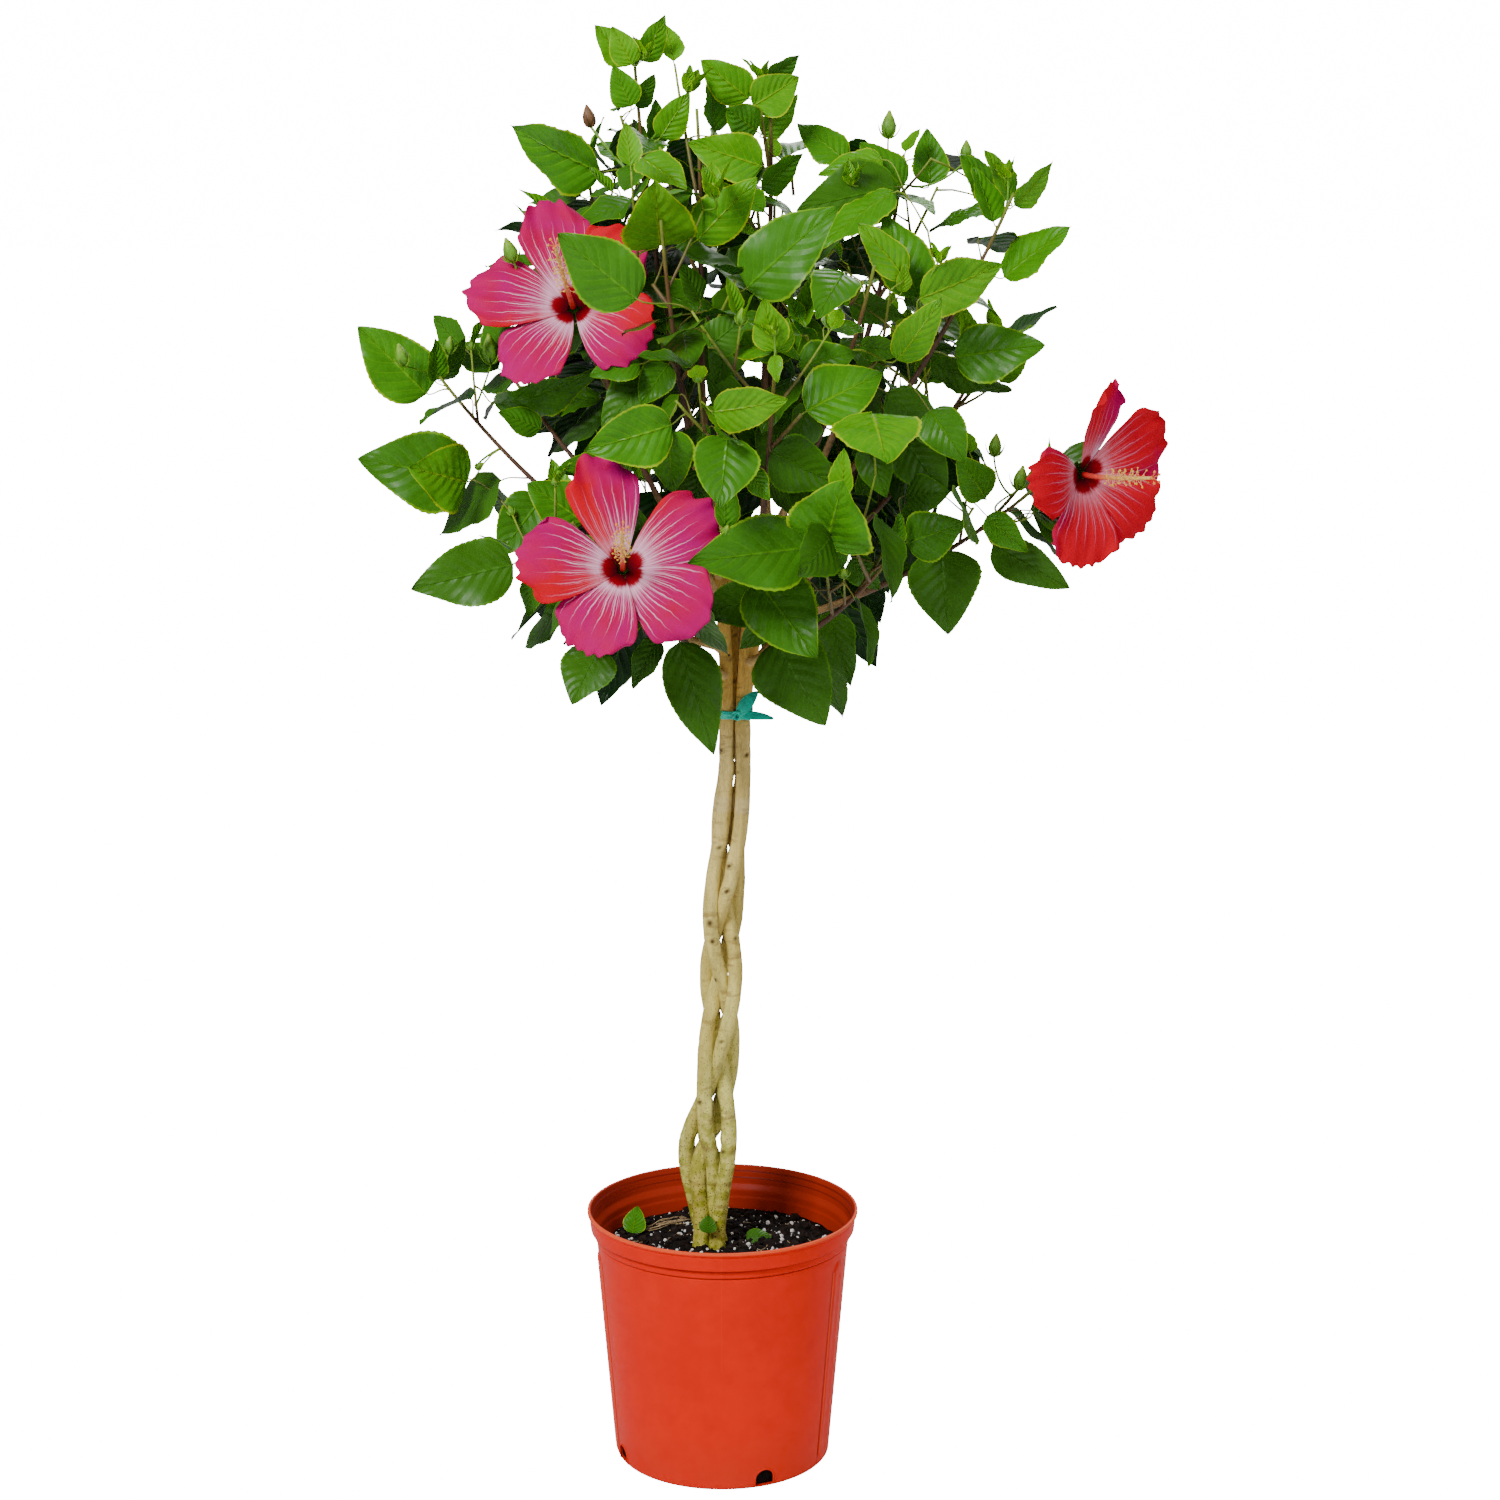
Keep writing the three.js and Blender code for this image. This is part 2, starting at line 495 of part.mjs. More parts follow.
function makeBloom(row, limb) {
  const axis = heading(radians(row.faces), radians(row.rise));
  const { across, over } = squareTo(axis);
  const centre = crownPoint(row);
  const flower = { axis, across, over, radius: row.radius };
  const back = centre.clone().addScaledVector(axis, -COLUMN.calyx_depth);
  const root = limb.getPoint(row.at);
  const span = back.distanceTo(root);
  const bend = root.clone().addScaledVector(limb.getTangent(row.at), span * 0.4);
  const under = back.clone().addScaledVector(axis, -span * 0.3);
  const stalk = new THREE.CubicBezierCurve3(root, bend, under, back);
  const stalkRadius = (t) => FLOWER_STALK.root + (FLOWER_STALK.tip - FLOWER_STALK.root) * t;
  let bloom = sweep(stalk, stalkRadius, TWIG_SIDES, FLOWER_STALK.steps);
  const column = new THREE.QuadraticBezierCurve3(
    back.clone().addScaledVector(axis, -1), centre,
    centre.clone().addScaledVector(axis, COLUMN.length).addScaledVector(UP, COLUMN.length * COLUMN.lift),
  );
  const columnRadius = (t) => (t < 0.4 ? COLUMN.calyx * Math.sin(Math.PI * (0.22 + t)) : COLUMN.radius);
  bloom = bloom.add(sweep(column, columnRadius, COLUMN.sides, COLUMN.steps));
  for (let i = 0; i < PETALS; i++) {
    bloom = bloom.add(petalSolid(centre, flower, radians(row.turn + i * 360 / PETALS)));
  }
  return bloom;
}

// Materials, and the named parts

const FINISH = {
  terracotta: { color: 0xd8451f, roughness: 0.42, metalness: 0 },
  soil: { color: 0x1d1714, roughness: 0.95, metalness: 0 },
  bark: { color: 0xb6a67c, roughness: 0.8, metalness: 0 },
  bough: { color: 0x8a7350, roughness: 0.8, metalness: 0 },
  tape: { color: 0x0f8f83, roughness: 0.45, metalness: 0 },
  leaf: { color: 0x3f8f24, roughness: 0.4, metalness: 0 },
  petal: { color: 0xe81e62, roughness: 0.55, metalness: 0 },
};

const group = new THREE.Group();

function addPart(name, solid, finish) {
  const part = new THREE.Mesh(toGeometry(solid), new THREE.MeshStandardMaterial(FINISH[finish]));
  part.name = name;
  group.add(part);
}

const stems = [0, 1, 2, 3].map((order) => new Stem(order));
const limbs = SHOOTS.map((row) => limbCurve(row, stems));

addPart('pot', makePot(), 'terracotta');
addPart('potting_mix', makeSoil(), 'soil');

// What foliage has to keep clear of: solids with the boxes that hold them
const obstacles = [];

function note(solid, owner) {
  obstacles.push({ solid, box: solid.boundingBox(), owner });
}

function tooNear(solid, box, other) {
  const boxesMeet = [0, 1, 2].every((i) => box.min[i] <= other.box.max[i] + CLEARANCE
    && other.box.min[i] <= box.max[i] + CLEARANCE);
  return boxesMeet && solid.minGap(other.solid, 2 * CLEARANCE) < CLEARANCE;
}

function touchesOthers(solid, box, owner) {
  return obstacles.some((other) => other.owner !== owner && tooNear(solid, box, other));
}

stems.forEach((stem, order) => {
  const solid = stemSolid(stem);
  addPart(`stem_${order + 1}`, solid, 'bark');
  note(solid, 'stem');
});

const tie = makeTie(stems);
addPart('tie', tie, 'tape');
note(tie, 'tie');

// Boughs start 0.3 mm clear of their stem's bark and end where they enter their mass
SHOOTS.forEach((row, order) => {
  const whole = sweep(limbs[order], limbRadius, BOUGH_SIDES, BOUGH_STEPS, { to: row.enter });
  const bough = soundBody(whole.subtract(stemSolid(stems[row.stem], SEAT)));
  addPart(`bough_${row.name}`, bough, 'bough');
  note(bough, 'bough');
});

// The stem of each mass, 0.3 mm past its bough's end, with those side shoots that have room
const masses = SHOOTS.map((row, order) => {
  const curve = limbs[order];
  const enter = row.enter + SEAT / curve.getLength();
  const main = { curve, bare: row.enter, number: 0, radiusAt: limbRadius };
  const solid = sweep(curve, limbRadius, TWIG_SIDES, MASS_STEPS, { from: enter });
  return { row, order, shoots: [main], body: solid };
});
for (const mass of masses) note(mass.body, mass.row.name);

for (const row of BLOOMS) {
  const order = SHOOTS.findIndex((shoot) => shoot.name === row.shoot);
  const from = SHOOTS[order].enter;
  const twig = sweep(limbs[order], (t) => limbRadius(t) + SEAT, TWIG_SIDES, MASS_STEPS, { from });
  const bloom = soundBody(makeBloom(row, limbs[order]).subtract(twig));
  addPart(row.name, bloom, 'petal');
  note(bloom, row.name);
}

for (const mass of masses) {
  const parts = [mass.body];
  for (const shoot of sideShoots(limbs[mass.order], mass.row, mass.order)) {
    shoot.radiusAt = (t) => SIDE.root + (SIDE.tip - SIDE.root) * t;
    const solid = sweep(shoot.curve, shoot.radiusAt, TWIG_SIDES, SIDE_STEPS);
    if (touchesOthers(solid, solid.boundingBox(), mass.row.name)) continue;
    parts.push(solid);
    mass.shoots.push(shoot);
  }
  mass.body = wasm.Manifold.union(parts);
  note(mass.body, mass.row.name);
}

// Leaves are fused on one mass after another; one whose blade would touch anything is skipped
for (const mass of masses) {
  const leaves = [];
  for (const shoot of mass.shoots) {
    for (const leaf of leavesOn(shoot, mass.row, mass.order)) {
      const solid = leafSolid(leaf);
      const box = solid.boundingBox();
      const crowded = leaves.some((near) => tooNear(solid, box, near));
      if (crowded || touchesOthers(solid, box, mass.row.name)) continue;
      const blade = leafSolid({ ...leaf, node: leaf.base.clone().lerp(leaf.node, 0.2) });
      if (blade.minGap(mass.body, 2 * CLEARANCE) >= CLEARANCE) leaves.push({ solid, box });
    }
  }
  mass.body = soundBody(wasm.Manifold.union([mass.body, ...leaves.map((leaf) => leaf.solid)]));
  addPart(`foliage_${mass.row.name}`, mass.body, 'leaf');
  note(mass.body, mass.row.name);
}

export default group;
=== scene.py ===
"""A flowering hibiscus grown as a braided standard in a nursery pot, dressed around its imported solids.

Metres, +Z up, in the solids' frame. The plant's own sizes are in millimetres until a piece is made, and the
crown grows by the same seeded rule as the solids, carried on to finer twigs and leaves.
"""

import math

import bpy
import numpy as np
from mathutils.bvhtree import BVHTree
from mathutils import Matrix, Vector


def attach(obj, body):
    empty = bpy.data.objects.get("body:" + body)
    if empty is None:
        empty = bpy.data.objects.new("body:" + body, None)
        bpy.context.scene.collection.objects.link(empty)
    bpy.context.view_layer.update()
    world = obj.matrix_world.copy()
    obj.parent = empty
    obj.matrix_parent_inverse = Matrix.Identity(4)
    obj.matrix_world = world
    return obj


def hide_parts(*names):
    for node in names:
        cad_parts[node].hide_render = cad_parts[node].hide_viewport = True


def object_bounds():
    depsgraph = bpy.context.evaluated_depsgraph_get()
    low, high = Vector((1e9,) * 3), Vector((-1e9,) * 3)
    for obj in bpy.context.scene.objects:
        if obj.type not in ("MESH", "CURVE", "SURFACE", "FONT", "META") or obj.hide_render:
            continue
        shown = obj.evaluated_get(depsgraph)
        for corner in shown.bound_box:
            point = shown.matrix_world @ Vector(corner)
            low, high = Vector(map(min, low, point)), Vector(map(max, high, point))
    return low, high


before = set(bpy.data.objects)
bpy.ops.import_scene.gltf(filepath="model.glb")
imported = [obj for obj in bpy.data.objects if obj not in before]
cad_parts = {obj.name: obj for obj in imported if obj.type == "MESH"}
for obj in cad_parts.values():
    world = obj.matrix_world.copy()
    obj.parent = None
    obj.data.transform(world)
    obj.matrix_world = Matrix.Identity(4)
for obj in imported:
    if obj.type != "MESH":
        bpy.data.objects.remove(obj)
cad_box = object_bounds()
MM = 0.001

# The pot and what fills it
POT_HEIGHT = 240.0
RIM_RADIUS = 127.0
BASE_RADIUS = 100.7
SHOULDER_RADIUS = 118.3
SHOULDER_HEIGHT = 211.0
BAND_HEIGHT = 19.5
WALL = 1.8
FLOOR = 2.2
SOIL_EDGE = 199.0
SOIL_TOP = 204.0
DRAIN_FIRST = 22.8
DRAIN_WIDTH = 18.5
DRAIN_SILL = 2.6
DRAIN_HEIGHT = 16.0
DRAINS = 4
CUT_FROM = 84.0
CUT_TO = 112.0
POT_COLUMNS = 372
WALL_FOOT = 2.5
WALL_SLOPE = (SHOULDER_RADIUS - BASE_RADIUS) / (SHOULDER_HEIGHT - WALL_FOOT)
WALL_MIDDLE = 110.0
BAND = POT_HEIGHT - BAND_HEIGHT
# Bearings from the front of the middle between each pair of raised strips, and from there to a strip
STRIPS_RIGHT = 84.0
STRIPS_LEFT = 96.0
STRIP_APART = 17.0

# The braid
STEMS = 4
SMALL_MARKS = 13
PALE_BAND = 629.0
FOOT = SOIL_TOP + 0.3
FORK = 860.0
KNOTS = np.array([FOOT, 231, 285, 365, 456, 537, 605, 660, 715, 780, FORK])
BRAID_TURN = np.array([323.8, 302.6, 288, 206.7, 103.5, -0.8, -53.9, -46, -40, -27, -25])
BRAID_WIDTH = np.array([10.6, 12.2, 20.4, 13.3, 13.3, 12.3, 12.4, 11.5, 10.6, 15, 26])
BRAID_DEPTH = np.array([11.3, 10.3, 12, 12.5, 11.9, 12.2, 12.5, 12.5, 11.3, 15.6, 27.6])
BRAID_PASS = np.array([4, 3.9, 7.4, 9.2, 9.4, 8.5, 3.9, 1, 0, 0, 0])
BRAID_X = np.array([-11.7, -13.7, -15.2, -4.9, -1.3, 1.6, 6.8, 11.6, 12.4, 16.4, 21.5])
STEM_RADIUS = np.array([6.6, 6.55, 6.4, 6.1, 6, 5.9, 5.8, 5.5, 5.35, 5.2, 4.8])
# Knots and old shoots on the stems: stem, height, bearing on it from the front, and size
SCARS = [(2, 573, -0.7, 1.0), (2, 549, -0.1, 1.2), (1, 520, 0.0, 1.6), (1, 503, 0.1, 1.1), (1, 680, -0.8, 0.9),
         (1, 589, 0.1, 0.8), (2, 676, 0.5, 0.9), (0, 407, -0.3, 0.8), (3, 349, -0.6, 0.9), (2, 300, -0.8, 0.8),
         (1, 464, -1.0, 0.9), (0, 502, 0.6, 0.8)]

# The crown
CROWN_X = 21.0
CROWN_HEIGHT = 930.0
LIMB_ROOT = 4.3
LIMB_TIP = 1.4
SIDE_ROOT = 2.0
SIDE_TIP = 1.1
SIDE_LENGTH = 135.0
SPUR_LENGTH = 62.0
SPUR_ROOT = 1.5
SPUR_TIP = 0.9
INTERNODE = 18.0
LEAF_LENGTH = 92.0
LEAF_HALF_WIDTH = 0.31
LEAFLET_HALF_WIDTH = 0.27
VEINS = 7.5
VEIN_SLANT = 0.31
PETIOLE = 0.42
GOLDEN_TURN = 137.5
TRIES = 4
# How much nearer than a leaf that stands out nothing may be, and within what distance blades are compared
NEARER = 6.0
NEIGHBOUR = 105.0
UP = np.array([0.0, 0.0, 1.0])
SIDE_REFERENCE = np.array([0.0, 0.86, -0.51]) / math.hypot(0.86, 0.51)

# Name, stem, height where it leaves the stem, bearing, reach and height of its tip, bare share, bend, side
# shoots and leaf size, as in the solids
SHOOTS = [
    ("top_left", 0, 858, 168, 99, 1290, 0.40, 10, 2, 0.86),
    ("top_middle", 1, 858, 205, 46, 1252, 0.42, 8, 2, 0.86),
    ("top_right", 3, 858, 50, 34, 1272, 0.40, 8, 3, 0.9),
    ("upper_right", 3, 838, 20, 152, 1212, 0.40, 12, 3, 0.88),
    ("right_long", 2, 834, 350, 238, 1180, 0.42, 10, 1, 0.92),
    ("right_side", 3, 800, 12, 226, 1040, 0.42, 14, 2, 0.98),
    ("right_low", 2, 790, 355, 262, 922, 0.42, 14, 2, 0.95),
    ("front_right_high", 2, 858, 306, 186, 1122, 0.42, 12, 2, 0.96),
    ("front_middle", 2, 820, 277, 212, 1050, 0.42, 12, 3, 1),
    ("front_left_high", 1, 840, 244, 160, 1160, 0.42, 10, 2, 0.95),
    ("left_bloom", 1, 822, 208, 158, 1090, 0.42, 12, 1, 0.95),
    ("left_long", 1, 802, 181, 272, 1018, 0.42, 12, 1, 1.05),
    ("left_upper", 0, 812, 164, 232, 1030, 0.42, 12, 1, 0.95),
    ("upper_left", 0, 834, 150, 165, 1196, 0.40, 12, 2, 0.92),
    ("left_low", 1, 775, 190, 208, 866, 0.42, 14, 2, 1),
    ("front_left_low", 1, 748, 238, 168, 862, 0.42, 14, 2, 0.98),
    ("front_right_low", 2, 760, 318, 172, 872, 0.42, 14, 3, 1),
    ("back_high", 3, 818, 80, 160, 1170, 0.42, 12, 3, 0.95),
    ("back_left", 0, 790, 118, 226, 1050, 0.42, 13, 3, 1),
    ("back_right", 3, 780, 50, 230, 1020, 0.42, 13, 3, 1),
    ("back_left_low", 0, 762, 130, 188, 868, 0.42, 14, 3, 1),
    ("back_right_low", 3, 752, 62, 185, 872, 0.42, 14, 3, 1),
]

# Name, shoot, place on it, bearing, reach and height of the centre, bearing and rise that it faces, radius
# and turn, as in the solids
BLOOMS = [
    ("bloom_upper_left", "left_bloom", 0.72, 216, 185, 1094, 262, 30, 85, 37),
    ("bloom_front", "front_left_low", 0.8, 243, 225, 877, 272, 22, 87, 51),
    ("bloom_right", "right_low", 0.9, 348, 318, 934, 306, -4, 82, 16),
]
# For each flower's petals: degrees aside, length, width, fall of the rim, and how red
PETAL_ROWS = {
    "bloom_upper_left": [(0, 1.05, 0.96, 2, 0.15), (-6, 1.1, 1.0, 1, 0.3), (-11, 1.16, 0.88, -3, 0.0),
                         (-24, 0.94, 0.95, -4, 0.65), (-16, 0.98, 1.02, 2, 0.55)],
    "bloom_front": [(-3, 1.0, 1.02, 2, 0.0), (2, 0.95, 1.0, 3, 0.1), (0, 1.04, 1.05, -2, 0.5),
                    (0, 1.14, 0.86, -3, 0.5), (2, 1.08, 0.86, 0, 0.3)],
    "bloom_right": [(3, 1.12, 1.1, 2, 0.85), (-10, 1.04, 1.0, 3, 1.0), (-20, 1.0, 1.04, 2, 0.95),
                    (-12, 0.96, 0.9, -2, 1.0), (10, 1.06, 0.62, -12, 0.75)],
}
PETALS = 5
PETAL_HALF_WIDTH = 0.73
PETAL_THROAT = 24.0
PETAL_ROOT = 2.5
COLUMN_LENGTH = 66.0
CALYX_DEPTH = 40.0
FILAMENTS = 58
BRACTS = 7

# The leaves that stand out: where the blade begins and where its point is, its roll away from the viewer in
# degrees, its half-width as a share of its length, and its tone from old and dark to young and bright, which
# carries painted light and shade as well as age
NOTED = [
    (-70, 20, 1293, -47, 10, 1331, 35, 0.3, 0.85), (-82, 25, 1291, -111, 18, 1325, 10, 0.33, 0.88),
    (-77, 2, 1290, -95, -6, 1322, -20, 0.34, 0.96), (-79, 0, 1254, -94, -10, 1289, 0, 0.34, 0.72),
    (-75, 6, 1254, -57, 12, 1282, 40, 0.3, 0.5), (-107, 40, 1197, -194, 60, 1233, -38, 0.32, 0.6),
    (-62, 18, 1224, -54, 26, 1261, 45, 0.32, 0.55), (-53, 0, 1227, -27, -6, 1266, 20, 0.3, 0.9),
    (-68, -60, 1210, -28, -90, 1186, -20, 0.32, 0.85), (-51, -120, 1137, -52, -190, 1184, 0, 0.37, 0.97),
    (25, 30, 1261, -18, 20, 1293, -25, 0.34, 0.85), (-6, 20, 1232, -8, 30, 1284, 52, 0.32, 0.6),
    (28, 8, 1254, 71, 18, 1280, 10, 0.36, 0.9), (36, 28, 1230, 69, 28, 1264, 50, 0.32, 0.85),
    (40, 45, 1276, 71, 50, 1299, 45, 0.3, 0.55), (32, 0, 1232, 8, -30, 1251, 0, 0.42, 0.6),
    (36, -20, 1203, -28, -30, 1223, -5, 0.31, 0.87), (35, -8, 1184, 73, 10, 1213, 52, 0.3, 0.65),
    (-19, -120, 1142, 32, -130, 1194, 20, 0.28, 0.83), (23, -150, 1103, 95, -175, 1172, -5, 0.29, 0.54),
    (111, 40, 1207, 68, 60, 1242, 15, 0.3, 0.7), (143, 10, 1208, 86, 0, 1198, 30, 0.28, 0.85),
    (133, 0, 1184, 80, -12, 1176, 30, 0.3, 0.6), (155, -14, 1185, 69, -45, 1168, 0, 0.3, 0.34),
    (150, -50, 1181, 81, -72, 1135, 38, 0.24, 0.72), (189, 80, 1185, 187, 85, 1236, 15, 0.32, 0.63),
    (162, 30, 1183, 126, 20, 1224, 15, 0.34, 0.65), (248, 30, 1170, 215, 12, 1214, 20, 0.32, 0.62),
    (241, 8, 1154, 225, 20, 1204, 48, 0.3, 0.76), (256, 4, 1173, 236, -6, 1218, 38, 0.32, 0.96),
    (259, 0, 1168, 295, 0, 1205, 58, 0.27, 0.92), (242, 60, 1165, 186, 62, 1150, 52, 0.3, 0.55),
    (250, -20, 1106, 305, -30, 1153, -38, 0.33, 0.76), (171, -100, 1092, 244, -82, 1120, 38, 0.3, 0.87),
    (157, -120, 1110, 121, -128, 1158, 28, 0.28, 0.93), (171, -82, 1092, 142, -62, 1162, 22, 0.32, 0.58),
    (79, -150, 1115, 122, -168, 1075, -25, 0.34, 0.8), (150, -150, 1043, 188, -160, 1094, 25, 0.28, 0.9),
    (155, -112, 1098, 159, -112, 1123, 45, 0.32, 1), (-263, 0, 1002, -322, -12, 1063, 0, 0.33, 0.6),
    (-252, 20, 1013, -226, 22, 1049, 52, 0.3, 0.5), (-255, 6, 1014, -252, -4, 1052, 40, 0.3, 0.72),
    (-229, 22, 924, -326, 2, 944, 0, 0.34, 0.4), (-228, -10, 924, -270, -58, 942, 0, 0.44, 0.78),
    (-205, 36, 990, -109, 10, 1013, 58, 0.26, 0.38), (-111, 60, 990, -201, 74, 980, 58, 0.26, 0.25),
    (-164, 44, 968, -200, 30, 985, 20, 0.32, 0.5), (-185, -40, 854, -274, -62, 836, -8, 0.31, 0.34),
    (-162, 4, 907, -201, -14, 858, 8, 0.38, 0.42), (-122, -40, 892, -168, -56, 929, 0, 0.4, 0.58),
    (-166, -20, 843, -175, -22, 804, 25, 0.3, 0.4), (-107, -100, 789, -130, -122, 743, 0, 0.42, 0.26),
    (-54, -60, 789, -82, -64, 748, 35, 0.32, 0.22), (-66, -232, 1098, -130, -244, 1151, -6, 0.33, 0.5),
    (46, -202, 1055, 37, -218, 1097, 8, 0.32, 0.96), (45, -200, 1053, -11, -190, 1059, 28, 0.3, 0.84),
    (48, -194, 1053, 58, -186, 1081, 40, 0.34, 0.9), (46, -208, 1052, 48, -216, 1030, 25, 0.3, 1),
    (-5, -212, 1005, 57, -216, 1013, 45, 0.32, 0.93), (-9, -182, 1057, 22, -186, 1082, 0, 0.4, 0.34),
    (73, -186, 1002, 138, -170, 1035, -12, 0.36, 0.6), (67, -138, 1037, 116, -140, 1051, -18, 0.36, 0.38),
    (-40, -176, 991, -111, -196, 970, -8, 0.33, 0.6), (-43, -192, 986, -40, -170, 927, 10, 0.32, 0.6),
    (7, -196, 983, 1, -228, 928, 0, 0.42, 0.5), (26, -190, 954, 41, -200, 930, 20, 0.36, 0.68),
    (128, -172, 1001, 137, -248, 974, 0, 0.44, 0.82), (207, -20, 1036, 284, -42, 1050, -8, 0.32, 0.5),
    (188, 0, 1031, 259, 4, 1000, 52, 0.26, 0.34), (177, 22, 1038, 212, 24, 1040, 50, 0.3, 0.2),
    (179, -130, 999, 208, -152, 959, 6, 0.36, 0.42), (233, -60, 916, 208, -72, 954, 14, 0.38, 0.6),
    (162, -60, 967, 197, -74, 919, 0, 0.38, 0.14), (127, -112, 968, 143, -120, 923, 25, 0.32, 0.3),
    (77, -150, 885, -26, -190, 878, -8, 0.28, 0.44), (91, -150, 888, 99, -218, 943, 0, 0.42, 0.62),
    (32, -118, 851, 83, -152, 789, 0, 0.36, 0.38), (-36, -100, 794, -5, -132, 701, 0, 0.235, 0.3),
    (48, -58, 789, 92, -82, 716, 0, 0.38, 0.26), (98, -20, 810, 116, -24, 740, 35, 0.28, 0.34),
    (89, 0, 780, 105, 2, 704, 40, 0.28, 0.2), (43, -162, 967, 101, -152, 937, 0, 0.36, 0.22),
    (129, -120, 917, 149, -144, 832, -8, 0.34, 0.46), (162, -80, 881, 211, -92, 900, 0, 0.4, 0.36),
    (195, -40, 869, 201, -62, 796, 0, 0.4, 0.2), (243, -20, 869, 312, -32, 831, 8, 0.24, 0.24),
    (235, -52, 899, 271, -58, 867, 8, 0.28, 0.7), (162, -70, 919, 201, -76, 923, 0, 0.42, 0.3),
    (-18, -100, 901, -70, -100, 879, 0, 0.36, 0.2), (35, -70, 827, -18, -90, 819, 0, 0.36, 0.16),
    (114, -60, 861, 141, -60, 834, 20, 0.34, 0.3), (-68, -130, 1038, -110, -140, 1032, 10, 0.34, 0.45),
    (-44, -120, 1037, -68, -130, 1004, 0, 0.38, 0.42), (-17, -90, 1090, -34, -100, 1123, 30, 0.3, 0.3),
    (13, -120, 1066, -4, -130, 1021, 0, 0.36, 0.22), (-26, -60, 1170, 0, -70, 1136, 0, 0.36, 0.16),
    (52, -90, 1090, 34, -90, 1117, 0, 0.36, 0.2), (113, -60, 1089, 161, -60, 1073, 30, 0.3, 0.3),
    (120, -110, 1053, 158, -115, 1047, 25, 0.3, 0.3), (-17, -120, 947, -26, -120, 904, 0, 0.36, 0.2),
]

# Single buds on stalks: where the stalk begins, where the bud begins and ends, and its kind: 0 dry, 1 green,
# 2 a tuft of young leaflets
DRY, TUFT = 0, 2
BUDS = [
    (-74, 30, 1181, -117, 60, 1236, -121, 60, 1256, 0), (148, 55, 1203, 150, 60, 1226, 151, 60, 1251, 1),
    (-229, 50, 965, -210, 60, 1024, -212, 60, 1052, 1), (249, 20, 909, 247, 30, 943, 249, 30, 964, 1),
    (188, 60, 1170, 219, 40, 1207, 219, 40, 1225, 1), (-58, 5, 1222, -29, -4, 1266, -23, -4, 1285, 2),
    (6, -140, 1161, -4, -150, 1178, -6, -155, 1201, 2), (124, -20, 1182, 113, -30, 1187, 115, -34, 1205, 2),
    (-250, 20, 1013, -244, 10, 1037, -242, 8, 1053, 1),
    (-270, -5, 1022, -279, -30, 1029, -284, -34, 1049, 1), (238, 10, 897, 267, 0, 916, 271, 0, 938, 1),
    (-174, -60, 1089, -177, -84, 1122, -184, -88, 1143, 1),
    (173, -100, 1099, 186, -110, 1123, 190, -112, 1138, 2),
    (255, 0, 1173, 252, -14, 1191, 250, -16, 1208, 2), (38, 30, 1272, 35, 22, 1277, 36, 20, 1293, 2),
    (-71, 10, 1292, -66, -2, 1296, -63, -4, 1311, 2), (46, -206, 1060, 46, -214, 1068, 42, -216, 1082, 2),
    (235, -30, 906, 235, -44, 916, 232, -46, 925, 2), (-226, 0, 934, -220, -4, 936, -213, -6, 941, 1),
]

# Places open to the sky as seen from the front: x, z and radius on the plane through the pot's middle
GAPS = [
    (-132, 1285, 38), (-5, 1315, 23), (109, 1272, 40), (-46, 1278, 8), (-145, 1253, 14), (74, 1183, 20),
    (202, 1180, 13), (201, 1134, 11), (278, 1173, 20), (259, 1081, 15), (290, 992, 29), (250, 979, 16),
    (238, 848, 13), (266, 807, 23), (-292, 986, 16), (-194, 955, 22), (-238, 1010, 7), (-224, 896, 9),
    (-267, 882, 11), (-201, 803, 18), (-160, 761, 14), (-100, 734, 13), (166, 780, 22), (-74, 706, 13),
    (-18, 1216, 8), (191, 997, 13), (-249, 1142, 38), (-265, 1216, 59), (-338, 1112, 45), (-377, 979, 36),
    (-353, 853, 40), (-275, 734, 63), (-202, 720, 31), (206, 1266, 32), (285, 1255, 52), (348, 1160, 36),
    (342, 1059, 47), (317, 757, 56), (217, 724, 40), (153, 720, 23), (-93, 683, 25), (-148, 733, 16),
    (190, 788, 10), (165, 1276, 18), (-200, 1168, 15),
]
# Where the plant is seen from, in millimetres
VIEW = np.array([25.8, -2838.0, 1237.5])


# Small geometry helpers


def draws_from(*keys):
    """Random numbers from 0 to 1: each state is the last times 16807, modulo 2147483647, and three are
    skipped first so that neighbouring seeds differ."""
    state = 1 + sum((key + 1) * factor for key, factor in zip(keys, (7919, 613, 97)))

    def draw():
        nonlocal state
        state = (state * 16807) % 2147483647
        return state / 2147483647

    for _ in range(3):
        draw()
    return draw


def full_turn(count):
    """As many angles as the count, spread evenly round a circle."""
    return np.linspace(0, 2 * math.pi, count, endpoint=False)


def unit(vectors):
    """Vectors divided by their own lengths."""
    vectors = np.asarray(vectors, float)
    return vectors / np.maximum(np.linalg.norm(vectors, axis=-1, keepdims=True), 1e-9)


def heading(bearing, rise):
    """The unit vector of a level bearing and a rise, in radians."""
    return np.array([math.cos(rise) * math.cos(bearing), math.cos(rise) * math.sin(bearing), math.sin(rise)])


def along(knots, values, place):
    """Numbers that vary smoothly from knot to knot, by cubic pieces with centred slopes."""
    place = np.asarray(place, float)
    last = len(knots) - 1
    i = np.searchsorted(knots[1:-1], place, side="left")
    low = np.maximum(np.arange(last + 1) - 1, 0)
    high = np.minimum(np.arange(last + 1) + 1, last)
    slope = (values[high] - values[low]) / (knots[high] - knots[low])
    span = knots[i + 1] - knots[i]
    t = (place - knots[i]) / span
    t2, t3 = t**2, t**3
    return (
        (2 * t3 - 3 * t2 + 1) * values[i]
        + (t3 - 2 * t2 + t) * span * slope[i]
        + (3 * t2 - 2 * t3) * values[i + 1]
        + (t3 - t2) * span * slope[i + 1]
    )


